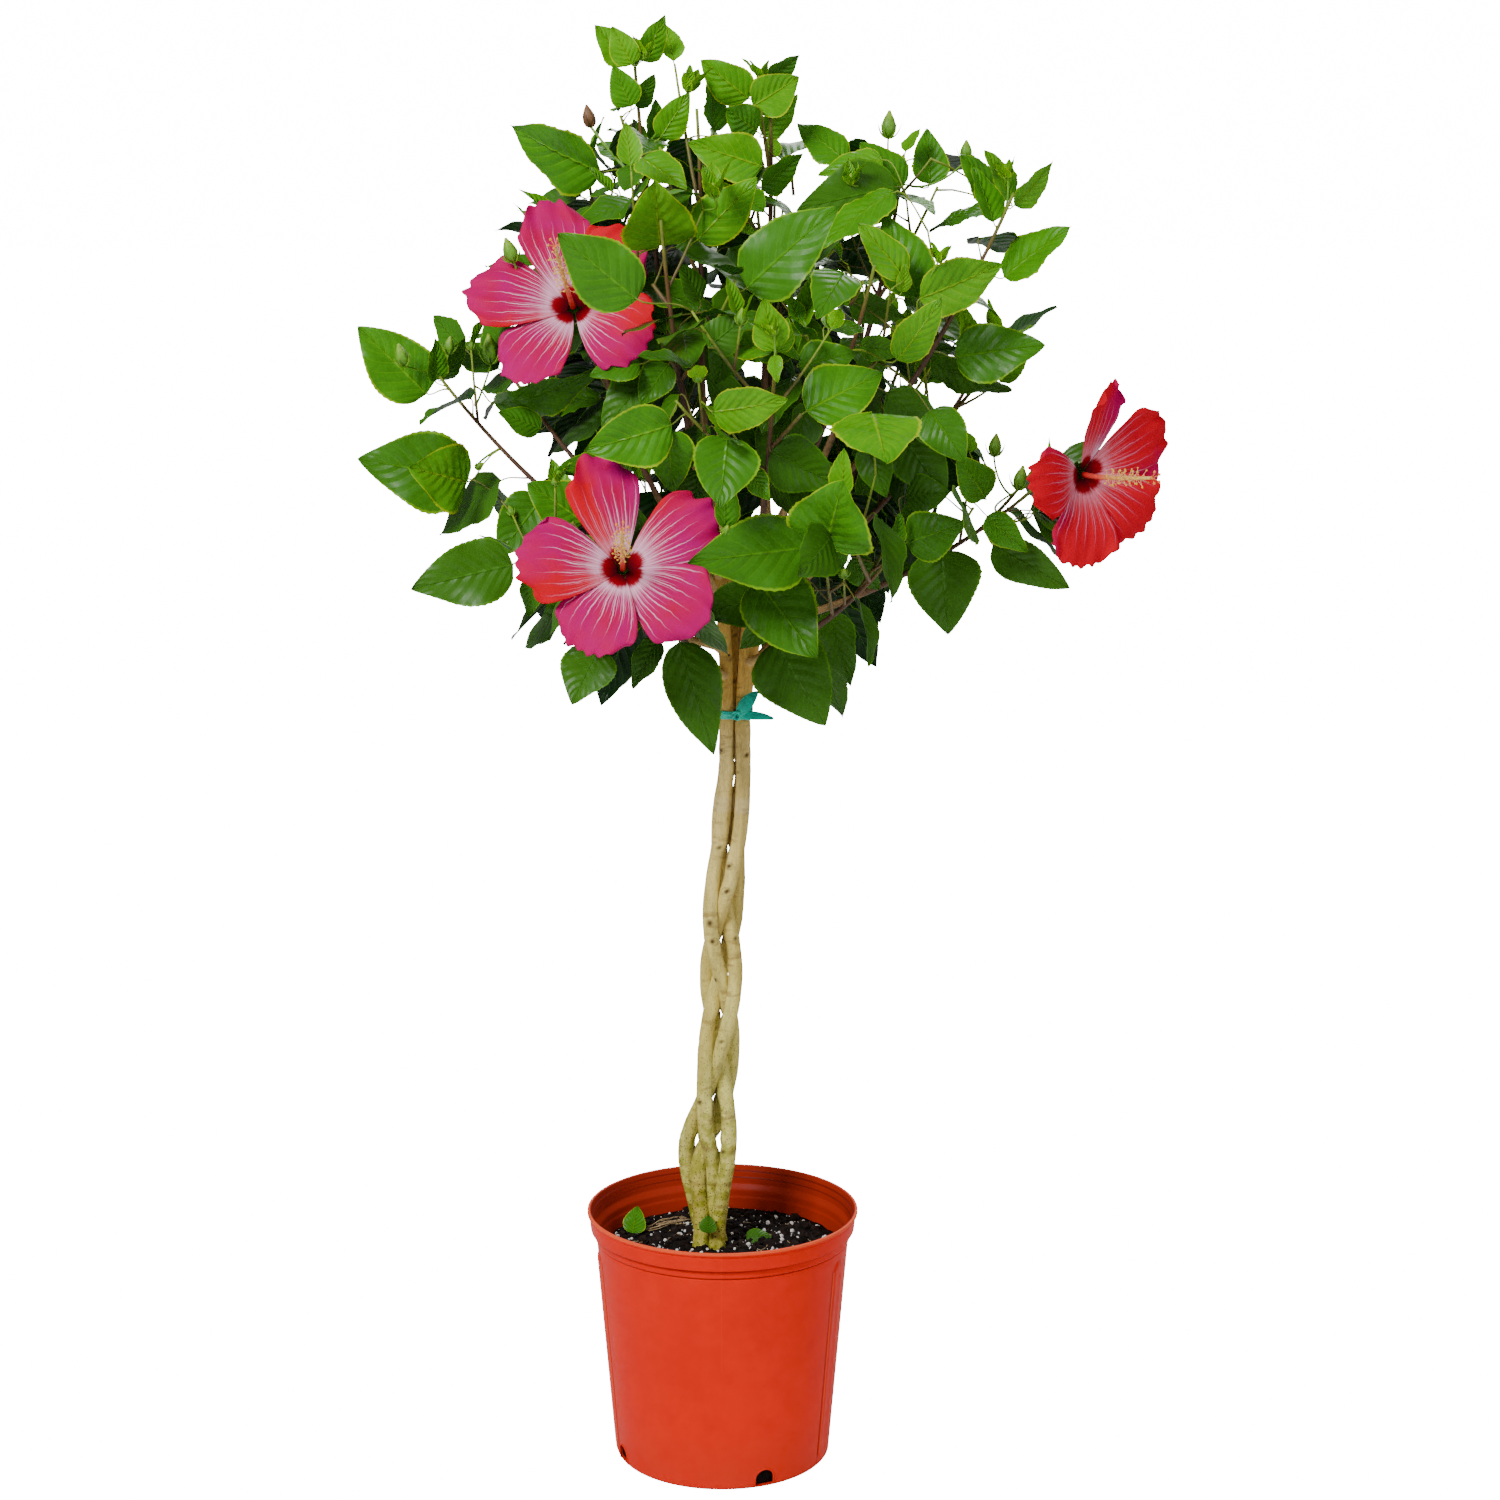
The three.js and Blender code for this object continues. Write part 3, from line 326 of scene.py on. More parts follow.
def waves(u, v, seed, count=6):
    """A smooth random relief from -1 to 1: the mean of sine waves that cross the two parameters, each with
    its own seeded direction and start."""
    dice = np.random.default_rng(seed)
    total = np.zeros(np.broadcast(u, v).shape)
    for _ in range(count):
        a, b, start = dice.uniform(-1, 1), dice.uniform(-1, 1), dice.uniform(0, 2 * math.pi)
        total += np.sin(2 * math.pi * (a * u + b * v) + start)
    return total / count


def grid_faces(rows, columns, round_rows=False):
    """The quads of a grid of points stored row by row; a round grid's last column joins its first."""
    i = np.arange(rows - 1)[:, None]
    j = np.arange(columns if round_rows else columns - 1)[None, :]
    k = (j + 1) % columns
    quads = [i * columns + j, i * columns + k, (i + 1) * columns + k, (i + 1) * columns + j]
    return np.stack([np.broadcast_to(q, (rows - 1, j.shape[1])) for q in quads], axis=-1).reshape(-1, 4)


def curve(points, t):
    """Points on the smooth curve of two to four control points, by repeated mixing of neighbours."""
    t = np.asarray(t, float)[:, None]
    level = [np.broadcast_to(np.asarray(p, float), (len(t), 3)) for p in points]
    while len(level) > 1:
        level = [(1 - t) * a + t * b for a, b in zip(level, level[1:])]
    return level[0]


def directions(line):
    """The unit tangents of a line of points."""
    return unit(np.gradient(line, axis=0))


def square_to(tangent):
    """Two directions square to the tangent, so that across, tangent and over are right-handed."""
    across = unit(np.cross(tangent, SIDE_REFERENCE))
    return across, np.cross(across, tangent)


def around(across, over, turn):
    """The way at a turn between two ways: across times its cosine plus over times its sine."""
    return across * math.cos(turn) + over * math.sin(turn)


def squared(side, way):
    """The unit direction nearest to side that is square to way."""
    return unit(side - way * np.sum(side * way, axis=-1, keepdims=True))


def bell(x):
    """1 in the middle, falling to 0 on both sides."""
    return np.exp(-(x**2))


def new_object(name, data):
    made = bpy.data.objects.new(name, data)
    bpy.context.scene.collection.objects.link(made)
    return made


class Heap:
    """Surfaces gathered to become one piece: points in millimetres with a texture place and an age."""

    def __init__(self):
        self.points, self.faces, self.uv, self.age, self.count = [], [], [], [], 0

    def add(self, points, faces, uv=None, age=0.0):
        """Adds one surface, whose faces are one grid of corner numbers or a list of them."""
        points = np.asarray(points, float).reshape(-1, 3)
        self.points.append(points)
        self.uv.append(np.zeros((len(points), 2)) if uv is None else np.asarray(uv, float).reshape(-1, 2))
        self.age.append(np.broadcast_to(np.asarray(age, float).reshape(-1), (len(points),)))
        for part in faces if isinstance(faces, list) else [faces]:
            self.faces.append(np.asarray(part) + self.count)
        self.count += len(points)

    def piece(self, name, material, slot=None, replaces=(), smooth=True):
        """Makes the mesh and its object, in metres, riding on the one body of the part."""
        points = np.concatenate(self.points) * MM
        corners = np.concatenate([part.reshape(-1) for part in self.faces]).astype(np.int32)
        sizes = np.concatenate([np.full(len(part), part.shape[1]) for part in self.faces])
        mesh = bpy.data.meshes.new(name)
        mesh.vertices.add(len(points))
        mesh.vertices.foreach_set("co", points.astype(np.float32).ravel())
        mesh.loops.add(len(corners))
        mesh.loops.foreach_set("vertex_index", corners)
        mesh.polygons.add(len(sizes))
        mesh.polygons.foreach_set("loop_start", (np.cumsum(sizes) - sizes).astype(np.int32))
        layer = mesh.uv_layers.new(name="place")
        layer.data.foreach_set("uv", np.concatenate(self.uv)[corners].astype(np.float32).ravel())
        age = mesh.attributes.new("age", "FLOAT", "POINT")
        age.data.foreach_set("value", np.concatenate(self.age).astype(np.float32))
        mesh.polygons.foreach_set("use_smooth", np.full(len(sizes), smooth))
        mesh.update(calc_edges=True)
        mesh.validate()
        mesh.materials.append(material)
        piece = new_object(name, mesh)
        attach(piece, "root")
        if replaces:
            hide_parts(*replaces)
        return piece


def tube(line, radii, sides, relief=None, frame_of=square_to):
    """A closed tube: a ring of equal angles is carried along the line, square to it, at the radius given for
    each point times one plus the relief there, and both ends are closed by flat faces."""
    line = np.asarray(line, float)
    across, over = frame_of(directions(line))
    angle = full_turn(sides)
    radius = np.broadcast_to(np.asarray(radii, float), (len(line),))[:, None] * np.ones(sides)
    if relief is not None:
        radius = radius * (1 + relief)
    ring = np.cos(angle)[None, :, None] * over[:, None, :] + np.sin(angle)[None, :, None] * across[:, None, :]
    points = line[:, None, :] + radius[:, :, None] * ring
    last = (len(line) - 1) * sides
    caps = np.array([np.arange(sides)[::-1], last + np.arange(sides)])
    return points.reshape(-1, 3), [grid_faces(len(line), sides, round_rows=True), caps]


def closed(rings, first, last):
    """A skin of round rings, closed by a fan from its first ring to a first point and one at the other end."""
    rows, columns = rings.shape[:2]
    j = np.arange(columns)
    k = (j + 1) % columns
    end = (rows - 1) * columns
    fans = [np.stack([0 * j, 1 + k, 1 + j], -1),
            np.stack([0 * j + rows * columns + 1, 1 + end + j, 1 + end + k], -1)]
    return (np.concatenate([[first], rings.reshape(-1, 3), [last]]),
            [1 + grid_faces(rows, columns, round_rows=True), *fans])


def ball(centre, radii, axes=None, *, rows, columns):
    """A closed ellipsoid: a half circle of rows turned through the columns, stretched along three axes."""
    rise = np.linspace(-math.pi / 2, math.pi / 2, rows)[1:-1, None]
    turn = full_turn(columns)[None, :]
    shell = np.stack([np.cos(rise) * np.cos(turn), np.cos(rise) * np.sin(turn), np.sin(rise) + 0 * turn], -1)
    points, faces = closed(shell, -UP, UP)
    points = points * radii
    return centre + (points if axes is None else points @ np.asarray(axes)), faces


# Shader helpers


def operator(operation, swapped=False):
    """A way to write one maths node as a sum: it takes a value and what it is worked with, in turn or swapped."""
    def apply(value, *others):
        return value.maths(operation, *((*others, value) if swapped else (value, *others)))

    return apply


class Value:
    """A shader value to be worked with like a number: each step adds one maths node to its tree."""

    def __init__(self, socket):
        self.socket = socket
        self.tree = socket.id_data

    def maths(self, operation, *values):
        inputs = {f"_{i}": value for i, value in enumerate(values)}
        return Value(add_node(self.tree, "ShaderNodeMath", {"operation": operation}, **inputs).outputs[0])

    def clamp(self):
        """Keeps the last step between 0 and 1."""
        self.socket.node.use_clamp = True
        return self

    __add__ = __radd__ = operator("ADD")
    __mul__ = __rmul__ = operator("MULTIPLY")
    __sub__, __rsub__ = operator("SUBTRACT"), operator("SUBTRACT", swapped=True)
    __truediv__, __pow__ = operator("DIVIDE"), operator("POWER")
    __lt__, __gt__ = operator("LESS_THAN"), operator("GREATER_THAN")
    __abs__, fract = operator("ABSOLUTE"), operator("FRACT")
    larger, arctan2 = operator("MAXIMUM"), operator("ARCTAN2")


def add_node(tree, kind, settings=None, **inputs):
    """A node with its settings and inputs; an input is a plain number or colour, or the value that feeds it."""
    node = tree.nodes.new(kind)
    for key, value in (settings or {}).items():
        setattr(node, key, value)
    for key, value in inputs.items():
        socket = node.inputs[int(key[1:]) if key[0] == "_" else key]
        if isinstance(value, Value):
            tree.links.new(value.socket, socket)
        else:
            socket.default_value = value
    return node


def ramp(factor, stops, smooth=False):
    """A colour ramp: stops are (place, colour) with the colour as three numbers or one grey."""
    node = add_node(factor.tree, "ShaderNodeValToRGB", Fac=factor)
    node.color_ramp.interpolation = "EASE" if smooth else "LINEAR"
    while len(node.color_ramp.elements) < len(stops):
        node.color_ramp.elements.new(0.5)
    for element, (place, colour) in zip(node.color_ramp.elements, stops):
        element.position = place
        element.color = (*colour, 1) if isinstance(colour, tuple) else grey(colour)
    return Value(node.outputs[0])


def mix(factor, low, high, blend="MIX"):
    """A mix of two colours, each three numbers or a value."""
    tree = next(value.tree for value in (factor, low, high) if isinstance(value, Value))
    low, high = ((*colour, 1) if isinstance(colour, tuple) else colour for colour in (low, high))
    settings = {"data_type": "RGBA", "blend_type": blend}
    return Value(add_node(tree, "ShaderNodeMix", settings, _0=factor, _6=low, _7=high).outputs[2])


def noise(vector, scale, detail, roughness=0.5):
    """Soft noise from 0 to 1."""
    inputs = {"Vector": vector, "Scale": scale, "Detail": detail, "Roughness": roughness}
    return Value(add_node(vector.tree, "ShaderNodeTexNoise", **inputs).outputs[0])


def split(vector):
    """The three numbers of a vector."""
    return [Value(socket) for socket in add_node(vector.tree, "ShaderNodeSeparateXYZ", _0=vector).outputs]


def stretched(vector, *scale):
    """A vector multiplied by a number for each axis."""
    return Value(add_node(vector.tree, "ShaderNodeMapping", Vector=vector, Scale=scale).outputs[0])


def grey(value):
    return (value, value, value, 1)


def new_group(name, inputs, outputs):
    """A shader group. Its inputs, as name, kind and sometimes a default, come back as values; its outputs, as
    name and kind, are given by the function that comes back."""
    tree = bpy.data.node_groups.new(name, "ShaderNodeTree")
    for way, sockets in (("INPUT", inputs), ("OUTPUT", outputs)):
        for label, kind, *default in sockets:
            socket = tree.interface.new_socket(label, in_out=way, socket_type=f"NodeSocket{kind}")
            if default:
                socket.default_value = default[0]
    take, give = tree.nodes.new("NodeGroupInput"), tree.nodes.new("NodeGroupOutput")

    def deliver(*values):
        for value, socket in zip(values, give.inputs):
            tree.links.new(value.socket, socket)
        return tree

    return [Value(take.outputs[i]) for i in range(len(inputs))], deliver


def mottle_group():
    """Two sizes of noise: a colour between low and high, and a height for fine relief."""
    (vector, scale, low, high), give = new_group(
        "mottle",
        [("Vector", "Vector"), ("Scale", "Float", 40.0), ("Low", "Color", grey(0)), ("High", "Color", grey(1))],
        [("Color", "Color"), ("Mask", "Float"), ("Height", "Float")],
    )
    both = noise(vector, scale * 9.0, 3.0) * 0.35 + noise(vector, scale, 4.0, 0.6) * 0.65
    mask = ramp(both, [(0.34, 0.0), (0.66, 1.0)], smooth=True)
    return give(mix(mask, low, high), mask, both)


def leaf_vein_group():
    """The vein net of one leaf from its own texture place, u across and v along: the midrib is a narrow band
    at the middle, side veins leave it at a slant, and the edge is a narrow band at either side."""
    (place,), give = new_group(
        "leaf_veins", [("Place", "Vector")],
        [("Midrib", "Float"), ("Veins", "Float"), ("Edge", "Float"), ("Height", "Float")],
    )
    across, out, _ = split(place)
    off = abs(across - 0.5)
    midrib = (1.0 - off / (out * -0.022 + 0.034)).clamp()
    saw = abs(((out - off * (2 * VEIN_SLANT)) * VEINS).fract() - 0.5)
    veins = (1.0 - saw / 0.085).clamp()
    fading = (1.15 - off * 1.9).clamp()
    edge = ((off - 0.455) / 0.025).clamp()
    return give(midrib, veins * fading, edge, midrib * -0.8 + saw * (fading * -1.4))


def petal_group():
    """The colours of one petal from its own texture place, u across and v from the eye out: a lobed dark eye,
    a faint pale halo, pale veins that fan out from it, fork and thin away, painted shade in thin lines beside
    the veins, and red that creeps in from one side."""
    (place, spot, redness), give = new_group(
        "petal_colours", [("Place", "Vector"), ("Object", "Vector"), ("Redness", "Float", 0.3)],
        [("Color", "Color"), ("Height", "Float")],
    )
    across, out, _ = split(place)
    cloud = noise(spot, 34.0, 4.0) - 0.5
    wander = noise(spot, 160.0, 2.0) - 0.5
    off = abs(across * 2.0 - 1.0)
    patch = ramp(cloud * 1.1 + (redness * 1.35 + (across - 1.08)), [(0.0, 0.0), (0.42, 1.0)], smooth=True)
    pink = mix((cloud * 2.2 + 0.45).clamp(), (0.5, 0.0, 0.055), (0.45, 0.0, 0.16))
    colour = mix(patch, pink, (0.62, 0.0, 0.014))
    pale_rim = ((out - 0.7) * 1.3).clamp() * (1.0 - patch)
    colour = mix(pale_rim, colour, (0.52, 0.0, 0.15))
    veins, vein_shade = [], []
    for count, start, wide, stops in (
        (7.0, 0.0, 0.155, [(0.0, 1.0), (0.42, 0.9), (0.86, 0.0)]),
        (15.0, 0.31, 0.19, [(0.1, 0.9), (0.34, 0.7), (0.62, 0.0)]),
        (29.0, 0.12, 0.26, [(0.2, 0.7), (0.3, 0.6), (0.48, 0.0)]),
    ):
        turn = wander * (0.02 * count) + (cloud * 0.8 + (across * count + start))
        saw = abs(turn.fract() - 0.5)
        narrow = (out * -wide + wide).larger(0.04)
        fade = ramp(out, stops, smooth=True)
        veins.append((1.0 - saw / narrow).clamp() * fade)
        vein_shade.append((1.0 - abs(saw - narrow * 1.5) / 0.1).clamp() * fade)
    # Painted shade: thin darker lines beside the two main sets of veins
    colour = mix(vein_shade[0].larger(vein_shade[1]) * 0.5, colour, (0.42, 0.0, 0.09))
    veins = veins[0].larger(veins[1]).larger(veins[2])
    dim = 1.0 - patch * 0.62
    colour = mix(veins * dim, colour, (0.96, 0.6, 0.76))
    halo = ramp(cloud * 0.2 + out, [(0.18, 0.55), (0.34, 0.0)], smooth=True)
    colour = mix(halo * dim, colour, (0.98, 0.62, 0.8))
    lobe = veins * 0.02 + (wander * 0.04 + (off**2.0 * 0.085 + out))
    eye = ramp(lobe, [(0.175, 1.0), (0.215, 0.0)])
    deep = mix(ramp(out, [(0.05, 0.0), (0.2, 1.0)]), (0.07, 0.0, 0.004), (0.4, 0.0, 0.01))
    return give(mix(eye, colour, deep), veins * -0.7)


GROUPS = {"mottle": mottle_group(), "leaf_veins": leaf_vein_group(), "petal": petal_group()}


class Finish:
    """A material with its Principled shader, and short ways to read its piece and to feed it."""

    def __init__(self, name, roughness=0.5, specular=0.5):
        self.material = bpy.data.materials.new(name)
        self.material.use_nodes = True
        self.tree = self.material.node_tree
        self.shader = self.tree.nodes["Principled BSDF"]
        self.shader.inputs["Roughness"].default_value = roughness
        self.shader.inputs["Specular IOR Level"].default_value = specular
        where = self.tree.nodes.new("ShaderNodeTexCoord")
        self.place, self.spot = Value(where.outputs["UV"]), Value(where.outputs["Object"])

    def read(self, kind, output, settings=None):
        return Value(add_node(self.tree, kind, settings).outputs[output])

    def age(self):
        return self.read("ShaderNodeAttribute", "Fac", {"attribute_name": "age"})

    def group(self, name, **inputs):
        node = add_node(self.tree, "ShaderNodeGroup", {"node_tree": GROUPS[name]}, **inputs)
        return {socket.name: Value(socket) for socket in node.outputs}

    def mottle(self, scale, low, high, vector=None):
        return self.group("mottle", Vector=vector or self.spot, Scale=scale, Low=low, High=high)

    def feed(self, name, value):
        self.tree.links.new(value.socket, self.shader.inputs[name])

    def bump(self, height, distance, strength=1.0):
        inputs = {"Height": height, "Distance": distance, "Strength": strength}
        self.feed("Normal", Value(add_node(self.tree, "ShaderNodeBump", **inputs).outputs[0]))


def leaf_finish(name, low, high, rib, edge):
    """Glossy leaf: tone varies from leaf to leaf by age and by painted light and shade, ribs and edge are
    paler, and the underside is greyer.
    """
    finish = Finish(name, specular=0.17)
    veins = finish.group("leaf_veins", Place=finish.place)
    patchy = finish.mottle(34.0, grey(0.0), grey(1.0))
    colour = mix(patchy["Mask"] * 0.6 + finish.age() * 0.5, low, high)
    for mask, share, tone in (("Veins", 0.42, rib), ("Midrib", 0.85, rib), ("Edge", 0.85, edge)):
        colour = mix(veins[mask] * share, colour, tone)
    back = finish.read("ShaderNodeNewGeometry", "Backfacing")
    finish.feed("Base Color", mix(back, colour, mix(0.5, colour, (0.08, 0.26, 0.01))))
    finish.feed("Roughness", patchy["Mask"] * 0.14 + 0.3)
    finish.bump(veins["Height"], 0.0014, 0.8)
    return finish.material


def petal_finish():
    """A soft petal; how red it is comes with the piece, petal by petal."""
    finish = Finish("petal", roughness=0.6, specular=0.06)
    petal = finish.group("petal", Place=finish.place, Object=finish.spot, Redness=finish.age())
    finish.feed("Base Color", petal["Color"])
    finish.bump(petal["Height"], 0.0006, 0.5)
    return finish.material


def mottled_finish(name, low, high, scale, relief, roughness, specular=0.5):
    """One material of two mottled tones, with fine relief from the same noise."""
    finish = Finish(name, roughness, specular)
    mottled = finish.mottle(scale, (*low, 1), (*high, 1))
    finish.feed("Base Color", mottled["Color"])
    finish.bump(mottled["Height"], relief)
    return finish.material


def aged_finish(name, stops, scale, relief, roughness, specular=0.5):
    """Bark, shoots and columns whose colour runs along the piece by age, mottled on the way."""
    finish = Finish(name, roughness, specular)
    mottled = finish.mottle(scale, grey(0.62), grey(1.0))
    finish.feed("Base Color", mix(1.0, ramp(finish.age(), stops), mottled["Color"], "MULTIPLY"))
    finish.bump(mottled["Height"], relief)
    return finish.material


def pot_finish():
    """Moulded orange plastic: a slight flow mottle, a darker inner wall, painted shade as dark lines beside the
    raised strips, under the band, at the shoulder step and at the steps inside the rim, painted highlights on
    the edges of the raised strips and on the lip, a faint pale seam in front, and a mottled darkening towards
    the foot."""
    finish = Finish("terracotta_plastic", specular=0.08)
    mottled = finish.mottle(5.0, (0.76, 0.012, 0.0, 1), (0.86, 0.018, 0.0, 1))
    x, y, height = split(finish.spot)
    height = height * (1 / MM)
    face_x, face_y, _ = split(finish.read("ShaderNodeNewGeometry", "Normal"))
    inside = face_x * x + face_y * y < -0.01
    outside = 1.0 - inside
    colour = mix(inside * 0.9, mottled["Color"], (0.36, 0.028, 0.012))
    # Darker and mottled towards the foot
    foot_darkening = ramp(height / POT_HEIGHT, [(0.0, 0.3), (0.3, 0.0)], smooth=True) * mottled["Mask"]
    colour = mix(foot_darkening, colour, (0.42, 0.06, 0.03))
    bearing = x.arctan2(y * -1.0)
    middle = (bearing > 0.0) * math.radians(STRIPS_RIGHT - STRIPS_LEFT) + math.radians(STRIPS_LEFT)
    off = abs(abs(abs(bearing) - middle) - math.radians(STRIP_APART)) * WALL_MIDDLE
    edge = (1.0 - abs(off - 9.3) / 0.9).clamp() * (height < SHOULDER_HEIGHT - 16) * (height > 14.0)
    seam = (1.0 - abs(bearing) * 260.0).clamp() * (height > POT_HEIGHT / 2)
    lip = height > POT_HEIGHT - 2.2
    # Painted highlights: lighter edges on the raised strips and on the lip; the seam in front is a faint pale line
    light = (edge * 0.6).larger(lip * 0.75).larger(seam * 0.14) * outside
    colour = mix(light, colour, (0.9, 0.12, 0.03))
    # Painted shade: dark lines beside the raised strips, under the band, at the shoulder step and at the steps
    # inside the rim
    groove = (1.0 - abs(off - 11.4) / 1.2).clamp() * (height < SHOULDER_HEIGHT - 14) * outside
    for level, half, side in (
        (BAND + 0.2, 1.1, outside), (SHOULDER_HEIGHT + 1.6, 0.9, outside),
        (POT_HEIGHT - 5.4, 1.0, inside), (POT_HEIGHT - 11.6, 0.9, inside),
    ):
        groove = groove.larger((1.3 - abs(height - level) / half).clamp() * side)
    finish.feed("Base Color", mix(groove * 0.75, colour, (0.13, 0.004, 0.002)))
    finish.feed("Roughness", mottled["Mask"] * 0.1 + 0.36)
    finish.bump(mottled["Height"], 0.0002, 0.4)
    return finish.material


def stem_finish():
    """Smooth bark whose colour runs with height from mossy yellow at the foot to tan at the fork, over a long
    grain, with brown tints, moss and dark specks near the foot, brown bands, one faint pale band below the
    tie, and, by age, dark scars and painted shade in the creases where the stems press."""
    finish = Finish("stem_bark", roughness=0.78, specular=0.2)
    height = split(finish.spot)[2]
    share = (height - 0.2) / 0.66
    colour = ramp(share, [(0.0, (0.72, 0.68, 0.1)), (0.16, (0.84, 0.78, 0.2)), (0.5, (0.88, 0.72, 0.21)),
                          (0.74, (0.9, 0.68, 0.24)), (0.8, (0.9, 0.54, 0.12)), (1.0, (0.76, 0.44, 0.09))])
    lengthwise = stretched(finish.spot, 1.0, 1.0, 0.13)
    grain = finish.mottle(170.0, grey(0.6), grey(1.0), lengthwise)
    cells = Value(add_node(finish.tree, "ShaderNodeTexVoronoi", Vector=finish.spot, Scale=380.0).outputs[0])
    specks = ramp(cells, [(0.14, 1.0), (0.3, 0.0)]) * ramp(share, [(0.02, 1.0), (0.2, 0.6), (0.5, 0.2)], smooth=True)
    moss = ramp(noise(finish.spot, 120.0, 5.0), [(0.46, 0.0), (0.58, 1.0)])
    band = noise(stretched(finish.spot, 0.5, 0.5, 1.7), 70.0, 5.0)
    colour = mix(1.0, colour, grain["Color"], "MULTIPLY")
    for mask, tone in (
        (ramp(noise(lengthwise, 34.0, 3.0), [(0.42, 0.0), (0.62, 0.4)], smooth=True), (0.46, 0.3, 0.05)),
        (moss * ramp(share, [(0.0, 0.95), (0.15, 0.65), (0.34, 0.0)], smooth=True), (0.3, 0.3, 0.012)),
        (specks, (0.06, 0.07, 0.01)),
        (ramp(band, [(0.58, 0.0), (0.7, 0.6)]), (0.22, 0.12, 0.03)),
        (ramp(abs(height - PALE_BAND * MM) * 100.0, [(0.5, 0.25), (0.9, 0.0)]), (0.86, 0.72, 0.4)),
        # Dark knot scars, and painted shade in the creases where the stems press, both from the piece's age value
        (ramp(finish.age(), [(0.25, 0.0), (0.9, 0.92)]), (0.05, 0.022, 0.008)),
    ):
        colour = mix(mask, colour, tone)
    finish.feed("Base Color", colour)
    finish.bump(grain["Height"] + specks * 0.4, 0.0009)
    return finish.material


# Limbs, side shoots and spurs


def stem_line(order, z):
    """The stem's centre at heights z: two stems turn one way round and two the other, a quarter turn apart,
    and pass by turns in front of and behind one another."""
    turn = np.radians(along(KNOTS, BRAID_TURN, z) - 90 * order)
    hand = -1 if order % 2 else 1
    x = along(KNOTS, BRAID_X, z) + along(KNOTS, BRAID_WIDTH, z) * np.sin(turn)
    y = along(KNOTS, BRAID_PASS, z) * np.cos(turn) - along(KNOTS, BRAID_DEPTH, z) * np.sin(turn)
    return np.stack([x, hand * y, z], -1)


def crown_point(bearing, reach, height):
    """A place in the crown by bearing, distance from its middle line, and height."""
    return np.array([CROWN_X, 0, height]) + reach * heading(math.radians(bearing), 0)


class Limb:
    """A curved limb or twig: its control points, its radius along it, and where its leaves begin."""

    def __init__(self, controls, root, tip, bare, number, order, size, power=1.0):
        self.controls = [np.asarray(p, float) for p in controls]
        self.root, self.tip, self.power = root, tip, power
        self.bare, self.number, self.order, self.size = bare, number, order, size
        self.used = 0.0
        line = self.at(np.linspace(0, 1, 60))
        self.length = float(np.linalg.norm(np.diff(line, axis=0), axis=1).sum())

    def at(self, t):
        return curve(self.controls, np.atleast_1d(t))

    def way(self, t):
        step = 1e-3
        return unit(self.at(min(t + step, 1.0)) - self.at(max(t - step, 0.0)))[0]

    def radius(self, t):
        return self.root + (self.tip - self.root) * np.asarray(t, float) ** self.power


def main_limb(row, order):
    """From the stem to the shoot's tip, starting flatter and ending steeper than its chord by the bend."""
    _, stem, leaves, bearing, reach, height, enter, bend, _, size = row
    start = stem_line(stem, np.array([float(leaves)]))[0]
    tip = crown_point(bearing, reach, height)
    chord = tip - start
    span = np.linalg.norm(chord)
    level = math.atan2(chord[1], chord[0])
    rise = math.asin(chord[2] / span)
    bend = math.radians(bend)
    inner = start + heading(level, rise - bend) * span * 0.34
    outer = tip - heading(level, min(rise + bend, 1.5)) * span * 0.34
    return Limb([start, inner, outer, tip], LIMB_ROOT, LIMB_TIP, enter, 0, order, size, 0.8)


def shoot(origin, way, length, *rest):
    """A side shoot that starts straight and curves up by a fifth of its length."""
    tip = origin + way * length + UP * length * 0.2
    return Limb([origin, origin + way * length / 2, tip], *rest)


def side_limbs(main, row, order):
    """Side shoots spread to the left and right of their limb in turn, and curve up."""
    enter, side, size = row[6], row[8], row[9]
    shoots = []
    for j in range(side):
        draw = draws_from(order, 90 + j, 0)
        at = enter + (1 - enter) * (0.1 + 0.66 * (j + 0.5) / side + 0.06 * draw())
        tangent = main.way(at)
        hand = 1 if (j + order) % 2 else -1
        bearing = math.atan2(tangent[1], tangent[0]) + hand * math.radians(42 + 50 * draw())
        rise = 0.55 * math.asin(tangent[2]) + math.radians(4 + 14 * draw())
        length = SIDE_LENGTH * (0.7 + 0.5 * draw()) * (1.1 - 0.4 * at)
        way = heading(bearing, rise)
        shoots.append(shoot(main.at(at)[0], way, length, SIDE_ROOT, SIDE_TIP, 0.16, j + 1, order, size))
    return shoots


def spurs(limb):
    """Short twigs on alternate sides, a third and two thirds along the leafy part."""
    shoots = []
    for j in range(2 if limb.number == 0 else 1):
        draw = draws_from(limb.order, 40 + 5 * limb.number + j, 7)
        at = limb.bare + (1 - limb.bare) * (0.3 + 0.35 * j + 0.2 * draw())
        tangent = limb.way(at)
        side = around(*square_to(tangent), math.radians(360 * draw()))
        way = unit(tangent * 0.9 + side + UP * 0.25)
        length = SPUR_LENGTH * (0.6 + 0.6 * draw())
        number = 20 + 3 * limb.number + j
        shoots.append(shoot(limb.at(at)[0], way, length, SPUR_ROOT, SPUR_TIP, 0.25, number, limb.order,
                            limb.size * 0.86))
    return shoots


# Leaves

ROW_PLACE = np.linspace(0, 1, 14) ** 0.92
COLUMN_PLACE = np.linspace(-1, 1, 5)
FINE_ROWS = np.linspace(0, 1, 32) ** 0.95
FINE_COLUMNS = np.linspace(-1, 1, 9)
PUFF = 0.022


def blade_outline(s):
    """Half-width of the blade along it, 1 at its widest: a sine hump with its top a third of the way out."""
    return np.sin(math.pi * np.clip(s, 0, 1) ** 0.62) ** 0.85


